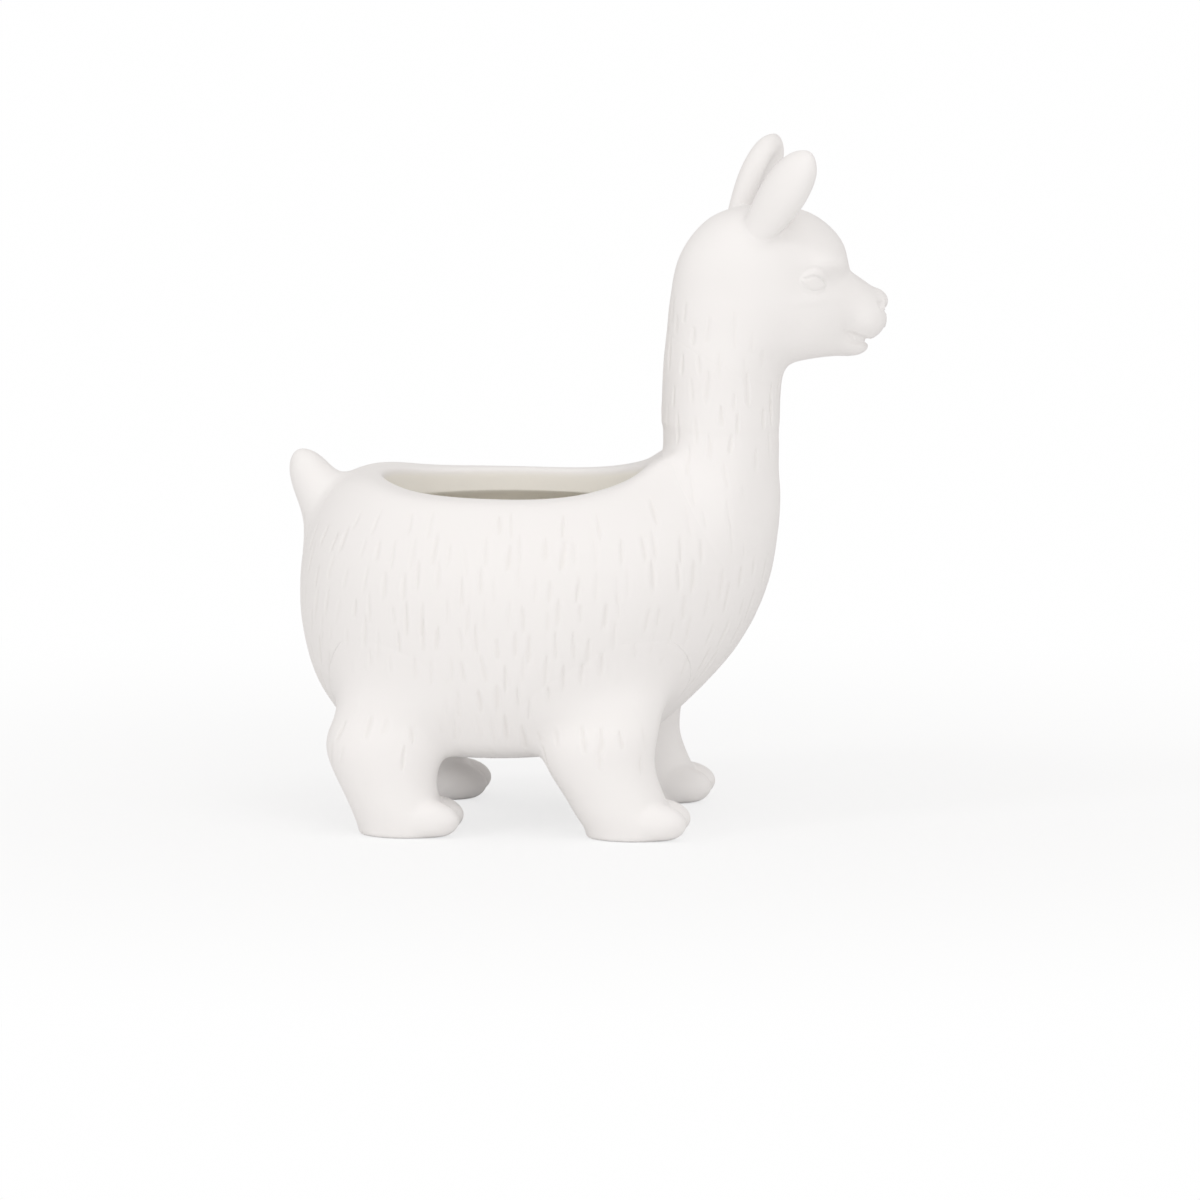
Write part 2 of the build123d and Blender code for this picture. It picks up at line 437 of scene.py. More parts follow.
@dataclass(frozen=True)
class Pot:
    """The hollow round-bellied pot.

    Attributes:
        length: Length of the belly.
        width: Width of the belly.
        height: From the underside to the neck's seat.
        middle: Place of the belly's middle along X.
        underside: Height of the underside above the floor.
        wall: Thickness of the wall.
        bottom: Thickness of the floor.
        mouth: Half length and half width of the mouth.
        mouth_middle: Place of the mouth's middle along X.
        band: Height of the upright lip inside the mouth.
        undercut: How far the hollow goes back under the lip.
        drain: Radius of the drain hole.
        rim_low: Lowest height of the rim.
        rim: Place along X and height of points on the saddle curve of the rim.
        rounding: Blends at the underside's edge, along the rim outside and on its crest.
        hollow_rounding: Blends under the lip, round the floor, at the mouth's lower end, where
            it meets the belly, and at the drain hole.
    """

    length: float = 104.0
    width: float = 77.6
    height: float = 63.4
    middle: float = -10.6
    underside: float = 15.6
    wall: float = 4.0
    bottom: float = 5.0
    mouth: tuple[float, float] = (28.5, 24.3)
    mouth_middle: float = -16.0
    band: float = 5.5
    undercut: float = 2.5
    drain: float = 4.0
    rim_low: float = 73.4
    rim: tuple[tuple[float, float], ...] = (
        (-66.0, 69.5), (-58.0, 73.3), (-48.5, 75.9), (-39.4, 74.5), (-29.0, 73.6), (-16.0, 73.4),
        (-1.7, 73.8), (8.0, 75.6), (12.2, 77.4), (16.5, 80.4), (26.0, 81.0), (44.0, 81.0),
    )
    rounding: tuple[float, float, float] = (7.0, 3.4, 2.6)
    hollow_rounding: tuple[float, ...] = (1.2, 3.0, 0.5, 0.8, 1.0)

    @property
    def floor(self) -> float:
        """Height of the hollow's floor."""
        return self.underside + self.bottom

    @property
    def lip(self) -> float:
        """Height of the lip's lower edge, where the hollow goes back under it."""
        return self.rim_low - self.band

    def sections(self, inset: float) -> list[tuple[float, ...]]:
        """Sections of the belly: height, back, front, half width, narrowing.

        Args:
            inset: How far they are drawn in.

        Returns:
            Rows for a Stack.
        """
        # Height as a share of the pot's; back and front as shares of its length; half of its
        # half width; narrowing
        shares = (
            (-0.100, -0.270, 0.100, 0.560, 0.02),
            (0.000, -0.320, 0.160, 0.650, 0.02),
            (0.030, -0.358, 0.200, 0.720, 0.02),
            (0.095, -0.407, 0.262, 0.810, 0.03),
            (0.200, -0.454, 0.332, 0.900, 0.04),
            (0.330, -0.486, 0.403, 0.965, 0.05),
            (0.500, -0.502, 0.463, 1.000, 0.07),
            (0.655, -0.498, 0.492, 0.985, 0.10),
            (0.780, -0.480, 0.502, 0.910, 0.15),
            (0.860, -0.457, 0.504, 0.825, 0.22),
            (0.920, -0.430, 0.500, 0.735, 0.28),
            (0.965, -0.398, 0.490, 0.640, 0.32),
            (1.040, -0.330, 0.470, 0.500, 0.34),
            (1.140, -0.240, 0.440, 0.350, 0.34),
        )
        return [
            (
                self.underside + share * self.height,
                self.middle + back * self.length + inset,
                self.middle + front * self.length - inset,
                half * self.width / 2.0 - inset,
                narrowing,
            )
            for share, back, front, half, narrowing in shares
        ]

    def build_fields(self) -> tuple[Field, Field]:
        """Fields of the outer form and of the hollow inside it.

        Returns:
            The two fields.
        """
        shell = Stack(self.sections(0.0))
        rim_line = np.array(self.rim)
        rim = Curve(rim_line[:, 0], rim_line[:, 1:])
        floor, lip = self.floor, self.lip
        under_edge, rim_edge, _ = self.rounding
        half_length, half_width = self.mouth
        inner = self.sections(self.wall)[3:10]
        lowest, highest = inner[0][0], inner[-1][0]
        rows = [
            (floor + (row[0] - lowest) / (highest - lowest) * (lip - floor), *row[1:])
            for row in inner[:-1]
        ]
        throat, half_throat = half_length + self.undercut, half_width + self.undercut
        back, front = self.mouth_middle - throat, self.mouth_middle + throat
        belly = Stack(rows + [(lip, back, front, half_throat, 0.0)])
        ends = (lip - 10.0, lip + 20.0)
        mouth = Stack(
            [(height, -half_length, half_length, half_width) for height in ends],
            origin=(self.mouth_middle, 0.0, 0.0),
        )

        def outer(points: Array) -> Array:
            """Belly, cut flat underneath and along the rim on top.

            Args:
                points: (n, 3) points.

            Returns:
                (n,) distances, below zero inside.
            """
            body = cut(shell(points), self.underside - points[:, 2], under_edge)
            return cut(body, points[:, 2] - rim(points[:, 0])[:, 0], rim_edge)

        def hollow(points: Array) -> Array:
            """Belly's inside up to the lip, the mouth over it and the drain hole under it.

            Args:
                points: (n, 3) points.

            Returns:
                (n,) distances, below zero inside.
            """
            z = points[:, 2]
            under_lip, round_floor, throat_end, throat_edge, drain_edge = self.hollow_rounding
            inside = cut(cut(belly(points), z - lip, under_lip), floor - z, round_floor)
            inside = join(inside, cut(mouth(points), lip - 3.0 - z, throat_end), throat_edge)
            hole = np.hypot(points[:, 0] - self.mouth_middle, points[:, 1]) - self.drain
            return join(inside, np.maximum(hole, z - floor - 6.0), drain_edge)

        return outer, hollow


@dataclass(frozen=True)
class Neck:
    """The column between the pot and the head.

    Attributes:
        middle: Place of its middle line along X.
        depth: Its size along X.
        width: Its size along Y.
        seat: Height of its seat on the pot.
        height: From the seat to the middle of the joint with the head.
        foot: How far its foot spreads on the pot: ahead, behind and to the sides.
        foot_height: Height of the foot's outline at the sides, and its rise ahead and behind.
        joint: Height of the joint with the head on the middle line, and its fall ahead.
    """

    middle: float = 29.0
    depth: float = 25.0
    width: float = 25.0
    seat: float = 79.0
    height: float = 32.0
    foot: tuple[float, float, float] = (14.5, 15.2, 27.0)
    foot_height: tuple[float, float, float] = (52.0, 7.0, 34.0)
    joint: tuple[float, float] = (106.0, 0.5)

    def build_field(self) -> Field:
        """Field of the column.

        Returns:
            The field.
        """
        # Rise over the seat as a share of the height; back and front of the depth; half of the
        # width
        shares = (
            (-0.50, -0.440, 0.440, 0.540),
            (-0.30, -0.470, 0.480, 0.560),
            (-0.10, -0.490, 0.503, 0.565),
            (0.08, -0.496, 0.508, 0.550),
            (0.30, -0.496, 0.508, 0.522),
            (0.55, -0.484, 0.510, 0.498),
            (0.75, -0.455, 0.500, 0.480),
            (0.95, -0.400, 0.440, 0.420),
            (1.10, -0.280, 0.320, 0.300),
            (1.18, -0.010, 0.010, 0.010),
        )
        rows = [
            (
                self.seat + rise * self.height,
                back * self.depth,
                front * self.depth,
                half * self.width,
            )
            for rise, back, front, half in shares
        ]
        return Stack(rows, origin=(self.middle, 0.0, 0.0))


@dataclass(frozen=True)
class Face:
    """The head, in its own frame: ahead and left of the neck's middle line, and height.

    Attributes:
        turn: How far it looks to the animal's left, in degrees.
        pivot: Place of the neck's middle line along X.
        creases: Line (ahead, up), half width and depth of the grooves of mouth and nostrils.
        eye: Outer and inner corner of the eye (ahead, up).
        lids: Height of the upper and the lower lid's arc over the line between the corners.
    """

    turn: float = 18.0
    pivot: float = 29.0
    creases: tuple[tuple[tuple[tuple[float, float], ...], float, float], ...] = (
        (((33.6, 104.3), (32.3, 104.6), (30.8, 105.5), (28.8, 106.2), (25.7, 107.6)), 0.5, 0.6),
        (((37.2, 110.9), (36.0, 111.4), (34.9, 112.2), (34.2, 113.4)), 0.38, 0.4),
        (((35.2, 112.6), (35.0, 113.0)), 0.6, 0.5),
    )
    eye: tuple[tuple[float, float], ...] = ((14.9, 119.7), (21.2, 117.9))
    lids: tuple[float, float] = (1.75, 1.55)

    def local(self, points: Array) -> Array:
        """Points in the head's own frame.

        Args:
            points: (n, 3) points.

        Returns:
            (n, 3) places ahead, left and up.
        """
        return (points - np.array([self.pivot, 0.0, 0.0])) @ turned_axes(self.turn).T

    def world(self, points: Array) -> Array:
        """Points in the frame of the row.

        Args:
            points: (n, 3) places ahead, left and up.

        Returns:
            (n, 3) points.
        """
        return points @ turned_axes(self.turn) + np.array([self.pivot, 0.0, 0.0])

    def build_field(self) -> Field:
        """Field of skull, muzzle, lips, jaw, brows and cheeks.

        Returns:
            The field, read in the row's frame.
        """
        # Rows: height, back, front, half width for the skull; ahead, low, high, half width for the
        # muzzle and the jaw
        skull = Stack(
            (
                (88.0, -12.0, 11.6, 12.0),
                (95.0, -11.9, 12.4, 12.2),
                (103.4, -11.7, 15.4, 12.7),
                (111.3, -11.2, 21.2, 13.1),
                (117.7, -10.5, 26.4, 13.3),
                (122.5, -9.4, 27.9, 13.2),
                (126.4, -7.5, 26.9, 12.5),
                (130.0, -4.6, 24.0, 11.0),
                (132.6, -1.2, 20.3, 8.4),
                (134.2, 3.4, 15.6, 4.9),
                (134.8, 9.4, 9.6, 0.1),
            ),
            domed=True,
        )
        along = np.array([[0.0, 0.0, 1.0], [0.0, 1.0, 0.0], [1.0, 0.0, 0.0]])
        muzzle = Stack(
            (
                (4.0, 104.5, 121.0, 9.6),
                (12.0, 104.2, 121.9, 10.6),
                (18.0, 104.4, 121.9, 10.5),
                (23.7, 105.0, 121.0, 9.5),
                (28.1, 105.4, 119.9, 8.3),
                (31.8, 105.6, 117.8, 7.0),
                (34.2, 107.0, 115.8, 5.2),
                (35.6, 109.4, 113.6, 2.6),
                (36.0, 111.4, 111.6, 0.1),
            ),
            axes=along,
            domed=True,
        )
        jaw = Stack(
            (
                (6.0, 101.8, 110.0, 8.8),
                (13.0, 101.6, 110.0, 9.2),
                (19.0, 101.5, 110.0, 8.8),
                (24.0, 101.5, 109.0, 7.6),
                (28.0, 101.3, 107.2, 6.0),
                (30.6, 101.6, 105.8, 4.6),
                (32.0, 102.3, 105.0, 3.0),
                (32.7, 103.5, 103.7, 0.1),
            ),
            axes=along,
            domed=True,
        )
        straight = np.eye(3)
        pad = Ellipsoid((30.3, 2.7, 109.7), (5.6, 5.3, 4.9), straight)
        nose = Ellipsoid((33.5, 0.0, 113.2), (3.7, 4.2, 2.9), straight)
        cheek = Ellipsoid((17.0, 5.0, 110.5), (9.0, 6.6, 8.0), straight)
        brow = Ellipsoid((19.9, 6.4, 122.6), (6.2, 5.4, 3.5), straight)

        def field(points: Array) -> Array:
            """Muzzle with pads, nose, jaw and cheeks, run on to the skull with its brows.

            Args:
                points: (n, 3) points.

            Returns:
                (n,) distances, below zero inside.
            """
            p = self.local(points)
            mirrored = np.stack([p[:, 0], np.abs(p[:, 1]), p[:, 2]], 1)
            snout = join(join(muzzle(p), pad(mirrored), 3.0), nose(p), 1.3)
            mouth = join(snout, jaw(p), 1.0 + 6.0 * (1.0 - ramp(p[:, 0], 23.0, 30.0)))
            mouth = join(mouth, cheek(mirrored), 5.0)
            dome = join(skull(p), brow(mirrored), 4.0)
            return join(dome, mouth, 4.6 + 3.4 * ramp(np.abs(p[:, 1]), 1.0, 6.0))

        return field

    def details(self, points: Array) -> Array:
        """Height of the modelled eyes, lids, nostrils and lips over the plain form.

        Args:
            points: (n, 3) points on the head's surface.

        Returns:
            (n,) heights along the normal.
        """
        p = self.local(points)
        ahead, side, up = p[:, 0], np.abs(p[:, 1]), p[:, 2]
        flank = ramp(side, 3.5, 6.0)

        # Socket: a soft hollow between brow and muzzle, deepest at the eye's inner corner
        height = -0.55 * bump(ahead, 22.4, 2.6) * bump(up, 119.3, 2.2) * flank
        height -= 0.30 * bump(ahead, 18.0, 4.6) * bump(up, 119.0, 3.2) * flank
        height += 0.22 * bump(ahead, 18.0, 4.2) * bump(up, 115.2, 1.2) * flank

        # Eye: an almond between two arcs from its outer to its inner corner, with a lid over each
        outer, inner = (np.array(corner) for corner in self.eye)
        axis = inner - outer
        span = float(np.linalg.norm(axis))
        axis = axis / span
        from_middle = np.stack([ahead, up], 1) - (outer + inner) / 2.0
        t = from_middle @ axis / (span / 2.0)
        s = from_middle @ np.array([-axis[1], axis[0]])
        arch = np.maximum(1.0 - t**2, 0.0)
        upper, lower = self.lids[0] * arch, self.lids[1] * arch
        edge = np.maximum(s - upper, -s - lower)
        inside = ramp(-edge, -0.14, 0.14)
        ball = np.clip(-edge / 1.5, 0.0, 1.0)
        height += 0.58 * np.sqrt(ball * (2.0 - ball)) * inside * flank
        above = ramp(s, -0.7, 0.7)
        fade = np.exp(-(np.maximum(np.abs(t) - 0.65, 0.0) / 0.3) ** 2)
        lid = np.exp(-((np.maximum(edge - 0.1, 0.0) / (0.5 + 0.45 * above)) ** 2))
        height += (0.2 + 0.24 * above) * lid * fade * flank * (1.0 - inside)
        crease = np.exp(-(((edge - 1.7) / 0.35) ** 2)) * np.exp(-((t / 0.9) ** 4))
        height -= 0.14 * crease * flank * above

        # Mouth and nostrils: grooves along lines on the muzzle
        profile = np.stack([ahead, up], 1)
        for line, width, depth in self.creases:
            far = line_distance(profile, np.asarray(line))
            height -= depth * np.exp(-((far / width) ** 2)) * ramp(ahead, 24.5, 28.5)
        return height


@dataclass(frozen=True)
class Ear:
    """A plump leaf with a scooped front.

    Attributes:
        side: Which ear.
        length: From its base to its tip.
        breadth: Its size across.
        thickness: Its size from front to back.
        base: Ahead, outwards and up in the head's frame.
        lean: Outward and forward lean in degrees.
        inward: Share of the inner face's direction that is inward and not ahead.
    """

    side: Side
    length: float = 22.3
    breadth: float = 10.8
    thickness: float = 8.0
    base: tuple[float, float, float] = (6.0, 8.9, 129.8)
    lean: tuple[float, float] = (23.5, 29.5)
    inward: float = 0.7

    def spine(self, face: Face) -> tuple[Array, Array]:
        """Base point and directions: forward, across and along the ear.

        Args:
            face: The head that carries it.

        Returns:
            The base and (3, 3) rows of unit vectors.
        """
        hand = self.side.value
        axes = turned_axes(face.turn)
        out, forward = (math.tan(math.radians(angle)) for angle in self.lean)
        along = unit(axes[2] + axes[0] * forward + axes[1] * hand * out)
        looks = axes[0] - axes[1] * hand * self.inward
        looks = unit(looks - along * (looks @ along))
        base = face.world(np.array([[self.base[0], self.base[1] * hand, self.base[2]]]))[0]
        return base, np.array([looks, np.cross(along, looks), along])

    def build_field(self, face: Face) -> Field:
        """Field of the ear.

        Args:
            face: The head that carries it.

        Returns:
            The field.
        """
        base, axes = self.spine(face)
        stations = (
            (-0.30, 0.30), (0.00, 0.36), (0.25, 0.45), (0.48, 0.50),
            (0.70, 0.465), (0.86, 0.36), (0.96, 0.19), (1.0, 0.005),
        )
        deep, length = self.thickness, self.length
        rows = [
            (reach * length, -half * deep, half * deep, half * self.breadth)
            for reach, half in stations
        ]
        leaf = Stack(rows, origin=base, axes=axes, domed=True)
        middle = base + axes[2] * self.length * 0.54 + axes[0] * self.thickness * 0.70
        scoop = Ellipsoid(tuple(middle), (4.3, 4.0, self.length * 0.43), axes)

        def field(points: Array) -> Array:
            """Leaf less the scoop in its front.

            Args:
                points: (n, 3) points.

            Returns:
                (n,) distances, below zero inside.
            """
            return cut(leaf(points), -scoop(points), 2.6)

        return field


@dataclass(frozen=True)
class Tail:
    """A stub cone that points up and back from the rump.

    Attributes:
        base: Its foot, inside the rump.
        length: From its foot to its tip.
        thickness: Its size across at the foot.
        lean: Angle from upright, in degrees.
        foot: How far its foot spreads on the rump: ahead, behind and to the sides.
    """

    base: tuple[float, float, float] = (-53.8, 0.0, 62.2)
    length: float = 20.4
    thickness: float = 11.8
    lean: float = 29.0
    foot: tuple[float, float, float] = (15.0, 14.0, 13.0)

    def axes(self) -> Array:
        """Directions forward, left and along the tail.

        Returns:
            (3, 3) rows of unit vectors.
        """
        angle = math.radians(self.lean)
        along = np.array([-math.sin(angle), 0.0, math.cos(angle)])
        return np.array([[math.cos(angle), 0.0, math.sin(angle)], [0.0, 1.0, 0.0], along])

    def build_field(self) -> Field:
        """Field of the tail.

        Returns:
            The field.
        """
        stations = (
            (-0.45, 0.56), (0.00, 0.53), (0.35, 0.48), (0.62, 0.42),
            (0.82, 0.33), (0.94, 0.20), (1.0, 0.005),
        )
        wide, length = self.thickness, self.length
        rows = [
            (reach * length, -half * wide, half * wide, half * wide) for reach, half in stations
        ]
        return Stack(rows, origin=self.base, axes=self.axes(), domed=True)


@dataclass(frozen=True)
class Leg:
    """A short leg with a cloven foot.

    Attributes:
        pair: Hind or front.
        side: Left or right.
        spread: Distance from the middle plane.
        width: Its size across.
        height: Nominal height.
        foot: Length of the foot.
        toe: Half length, half width and half height of a toe.
    """

    pair: Pair
    side: Side
    spread: float = 27.2
    width: float = 17.6
    height: float = 24.0
    foot: float = 21.5
    toe: tuple[float, float, float] = (7.7, 4.5, 4.4)

    @property
    def hind(self) -> bool:
        """Whether it is a hind leg."""
        return self.pair is Pair.HIND

    @property
    def station(self) -> float:
        """Place of its middle line along X."""
        return -36.2 if self.hind else 14.4

    @property
    def name(self) -> str:
        """CAD node that it stands for."""
        return f"{self.side.name.lower()}_{self.pair.value}_leg"

    def build_field(self) -> Field:
        """Field of the leg with its two toes.

        Returns:
            The field.
        """
        # Rise as a share of the height; back and front of the foot's length; half and inward lean
        # of the width
        hind = (
            (-0.20, -0.46, 0.40, 0.42, 0.00),
            (0.00, -0.50, 0.42, 0.44, 0.00),
            (0.08, -0.52, 0.42, 0.46, 0.00),
            (0.20, -0.57, 0.38, 0.48, 0.00),
            (0.38, -0.66, 0.30, 0.48, 0.00),
            (0.60, -0.78, 0.30, 0.50, 0.02),
            (0.82, -0.84, 0.36, 0.52, 0.06),
            (1.08, -0.74, 0.42, 0.48, 0.14),
            (1.50, -0.40, 0.40, 0.32, 0.36),
            (1.80, -0.10, 0.20, 0.16, 0.50),
        )
        front = (
            (-0.20, -0.50, 0.36, 0.42, 0.00),
            (0.00, -0.55, 0.38, 0.44, 0.00),
            (0.08, -0.57, 0.38, 0.46, 0.00),
            (0.18, -0.64, 0.34, 0.48, 0.00),
            (0.36, -0.76, 0.25, 0.48, 0.00),
            (0.66, -0.96, 0.14, 0.50, 0.02),
            (0.90, -0.98, 0.16, 0.52, 0.06),
            (1.10, -0.92, 0.18, 0.48, 0.14),
            (1.50, -0.66, 0.06, 0.32, 0.36),
            (1.80, -0.40, -0.10, 0.16, 0.50),
        )
        hand = self.side.value
        rows = [
            (
                rise * self.height,
                back * self.foot,
                ahead * self.foot,
                half * self.width,
                0.0,
                -hand * lean * self.width,
            )
            for rise, back, ahead, half, lean in (hind if self.hind else front)
        ]
        origin = np.array([self.station, hand * self.spread, 0.0])
        column = Stack(rows, origin=origin)
        tip = (0.53 if self.hind else 0.48) * self.foot
        toes = [
            Ellipsoid(
                tuple(origin + np.array([tip - 7.6, lateral * 3.9, 3.7])),
                self.toe,
                turned_axes(6.0 * lateral),
            )
            for lateral in (-1.0, 1.0)
        ]

        def field(points: Array) -> Array:
            """Column with its two toes, cut flat at the sole.

            Args:
                points: (n, 3) points.

            Returns:
                (n,) distances, below zero inside.
            """
            body = column(points)
            for toe in toes:
                body = join(body, toe(points), 1.3)
            return cut(body, -points[:, 2], 1.6)

        return field


@dataclass(frozen=True)
class Fillets:
    """Blends where one section of the animal runs on to another.

    Attributes:
        rim: Neck on the rim and the chest.
        shoulder: How much wider it is beside the neck.
        tail: Tail on the rump.
        leg: Leg under the belly.
        haunch: How much wider it is up on the flank.
        throat: Head on the neck.
        ear: Ear on the head.
        coat: Neck and legs on the pot, for the lie of the fleece.
    """

    rim: float = 3.0
    shoulder: float = 8.0
    tail: float = 6.0
    leg: float = 6.0
    haunch: float = 7.0
    throat: float = 3.5
    ear: float = 2.6
    coat: tuple[float, float] = (10.0, 6.5)


def tuck(past: Array, crossing: float, dive: tuple[float, float]) -> Array:
    """How far a piece is drawn in where it runs on inside its neighbour.

    A thin step at once, so that the two surfaces cross on a clean line, and then a deep dive.

    Args:
        past: Distance past the joint.
        crossing: Where the step begins.
        dive: Where the dive begins and ends.

    Returns:
        Depths.
    """
    step, run, deep = 0.4, 2.0, 3.0
    return step * np.clip((past - crossing) / run, 0.0, 1.0) + deep * ramp(past, *dive)


class Animal:
    """All the forms together, and the unions that its sections are meshed on."""

    def __init__(self) -> None:
        """Makes the fields of every section."""
        self.fillets = Fillets()
        self.pot_form, self.neck_form, self.face = Pot(), Neck(), Face()
        self.outer, self.hollow = self.pot_form.build_fields()
        self.neck = self.neck_form.build_field()
        self.head = self.face.build_field()
        self.tail_form = Tail()
        self.tail = self.tail_form.build_field()
        self.legs = {(pair, side): Leg(pair, side) for pair in Pair for side in Side}
        self.leg_fields = {key: leg.build_field() for key, leg in self.legs.items()}
        self.ears = {side: Ear(side) for side in Side}
        self.ear_fields = {side: ear.build_field(self.face) for side, ear in self.ears.items()}

    def pot(self, points: Array) -> Array:
        """Field of the hollow pot alone.

        Args:
            points: (n, 3) points.

        Returns:
            (n,) distances, below zero inside.
        """
        return cut(self.outer(points), -self.hollow(points), self.pot_form.rounding[2])

    def pot_and_neck(self, points: Array) -> Array:
        """Field of the pot with the neck run on to it, softly at the sides and tightly at the rim.

        Args:
            points: (n, 3) points.

        Returns:
            (n,) distances, below zero inside.
        """
        sides = ramp(points[:, 0], 15.0, 28.0) * (1.0 - ramp(points[:, 0], 31.0, 41.0))
        blend = self.fillets.rim + self.fillets.shoulder * sides
        return join(self.pot(points), self.neck(points), blend)

    def pot_and_tail(self, points: Array) -> Array:
        """Field of the pot with the tail run on to it.

        Args:
            points: (n, 3) points.

        Returns:
            (n,) distances, below zero inside.
        """
        return join(self.pot(points), self.tail(points), self.fillets.tail)

    def pot_and_leg(self, key: tuple[Pair, Side], points: Array) -> Array:
        """Field of the pot's outside with a leg run on to it, more softly up on the flank.

        Args:
            key: Which leg.
            points: (n, 3) points.

        Returns:
            (n,) distances, below zero inside.
        """
        blend = self.fillets.leg + self.fillets.haunch * ramp(points[:, 2], 19.0, 30.0)
        return join(self.outer(points), self.leg_fields[key](points), blend)

    def neck_and_head(self, points: Array) -> Array:
        """Field of the head run on to the neck.

        Args:
            points: (n, 3) points.

        Returns:
            (n,) distances, below zero inside.
        """
        return join(self.head(points), self.neck(points), self.fillets.throat)

    def column(self, points: Array) -> Array:
        """Field of pot, neck and head together.

        Args:
            points: (n, 3) points.

        Returns:
            (n,) distances, below zero inside.
        """
        return join(self.pot_and_neck(points), self.head(points), self.fillets.throat)

    def under_joint(self, points: Array) -> Array:
        """Depth of points under the slanted joint of neck and head.

        Args:
            points: (n, 3) points.

        Returns:
            (n,) depths.
        """
        height, fall = self.neck_form.joint
        return height - fall * (points[:, 0] - self.neck_form.middle) - points[:, 2]

    def whole_coat(self, points: Array) -> Array:
        """Field of everything that the fleece grows on.

        Args:
            points: (n, 3) points.

        Returns:
            (n,) distances, below zero inside.
        """
        at_neck, at_leg = self.fillets.coat
        value = join(self.outer(points), self.neck(points), at_neck)
        for leg in self.leg_fields.values():
            value = join(value, leg(points), at_leg)
        value = join(value, self.head(points), self.fillets.throat)
        return join(value, self.tail(points), self.fillets.tail)


def skin(name: str, grid: Array, ring: bool = False) -> bpy.types.Object:
    """Closed mesh from a grid of points whose rows are closed rings.

    Args:
        name: The piece's name.
        grid: (rows, columns, 3) points in millimetres.
        ring: Whether the last row joins the first, as on a body with a hole through it. If not,
            each end is closed with a fan on its middle.

    Returns:
        The object, with faces that look outwards.
    """
    rows, columns, _ = grid.shape
    points = grid.reshape(-1, 3)
    index = np.arange(rows * columns).reshape(rows, columns)
    here = index if ring else index[:-1]
    there = np.roll(index, -1, axis=0) if ring else index[1:]
    quads = np.stack([here, np.roll(here, -1, axis=1), np.roll(there, -1, axis=1), there], axis=-1)
    quads = quads.reshape(-1, 4)
    corners = [quads.ravel()]
    sizes = [np.full(len(quads), 4)]
    if not ring:
        ends = np.stack([grid[0].mean(0), grid[-1].mean(0)])
        points = np.concatenate([points, ends])
        hub = np.full(columns, rows * columns)
        first = np.stack([hub, np.roll(index[0], -1), index[0]], axis=-1)
        last = np.stack([hub + 1, index[-1], np.roll(index[-1], -1)], axis=-1)
        corners += [first.ravel(), last.ravel()]
        sizes += [np.full(columns, 3), np.full(columns, 3)]
    loops, totals = np.concatenate(corners), np.concatenate(sizes)
    starts = np.concatenate([[0], np.cumsum(totals)[:-1]])
    mesh = bpy.data.meshes.new(name)
    mesh.vertices.add(len(points))
    mesh.vertices.foreach_set("co", (points * MM).astype(np.float32).ravel())
    mesh.loops.add(len(loops))
    mesh.loops.foreach_set("vertex_index", loops.astype(np.int32))
    mesh.polygons.add(len(totals))
    mesh.polygons.foreach_set("loop_start", starts.astype(np.int32))
    mesh.update(calc_edges=True)
    a, b, c = (points[quads[:, corner]] for corner in range(3))
    volume = np.einsum("ij,ij->i", a, np.cross(b, c)).sum()
    if volume < 0.0:
        mesh.flip_normals()
    mesh.polygons.foreach_set("use_smooth", np.ones(len(totals), bool))
    mesh.validate()
    thing = bpy.data.objects.new(name, mesh)
    bpy.context.scene.collection.objects.link(thing)
    return thing


def circle(count: int) -> Array:
    """Angles evenly round a circle.

    Args:
        count: How many.

    Returns:
        (count,) angles.
    """
    return np.linspace(0.0, 2.0 * math.pi, count, endpoint=False)


@dataclass(frozen=True)
class Band:
    """Rings of strokes round one upright axis.

    Attributes:
        axis: Place of the axis along X.
        levels: Lowest height, end of the heights, and their spacing.
        count: Strokes in a ring.
    """

    axis: float
    levels: tuple[float, float, float]
    count: int

    def rays(self) -> tuple[Array, Array]:
        """Rays outwards from the axis, each ring staggered against the one below.

        Returns:
            (n, 3) starting points and (n, 3) directions.
        """
        starts, aims = [], []
        for level, height in enumerate(np.arange(*self.levels)):
            angles = circle(self.count) + (level % 2) * math.pi / self.count
            starts.append(np.full((self.count, 3), (self.axis, 0.0, height)))
            aims.append(np.stack([np.cos(angles), np.sin(angles), np.zeros(self.count)], 1))
        return np.concatenate(starts), np.concatenate(aims)


@dataclass(frozen=True)
class Coat:
    """Where the strokes of the fleece lie and how big they are.

    Attributes:
        bands: Rings round the pot and round the neck.
        drift: Longest shift of a stroke up or down.
        twist: Largest turn of a stroke round its axis.
        halves: Shortest and longest half length.
        widths: Least and greatest half width.
        depths: Least and greatest depth.
        top: Height over which the head is smooth.
        tail: Middle and radius of the smooth part round the tail.
    """

    bands: tuple[Band, ...] = (
        Band(-14.0, (17.0, 71.0, 6.6), 58),
        Band(29.0, (76.0, 116.0, 6.4), 17),
    )
    drift: float = 1.9
    twist: float = 0.03
    halves: tuple[float, float] = (2.0, 4.2)
    widths: tuple[float, float] = (0.5, 0.95)
    depths: tuple[float, float] = (0.08, 0.30)
    top: float = 113.0
    tail: tuple[tuple[float, float, float], float] = ((-62.0, 0.0, 74.0), 9.0)


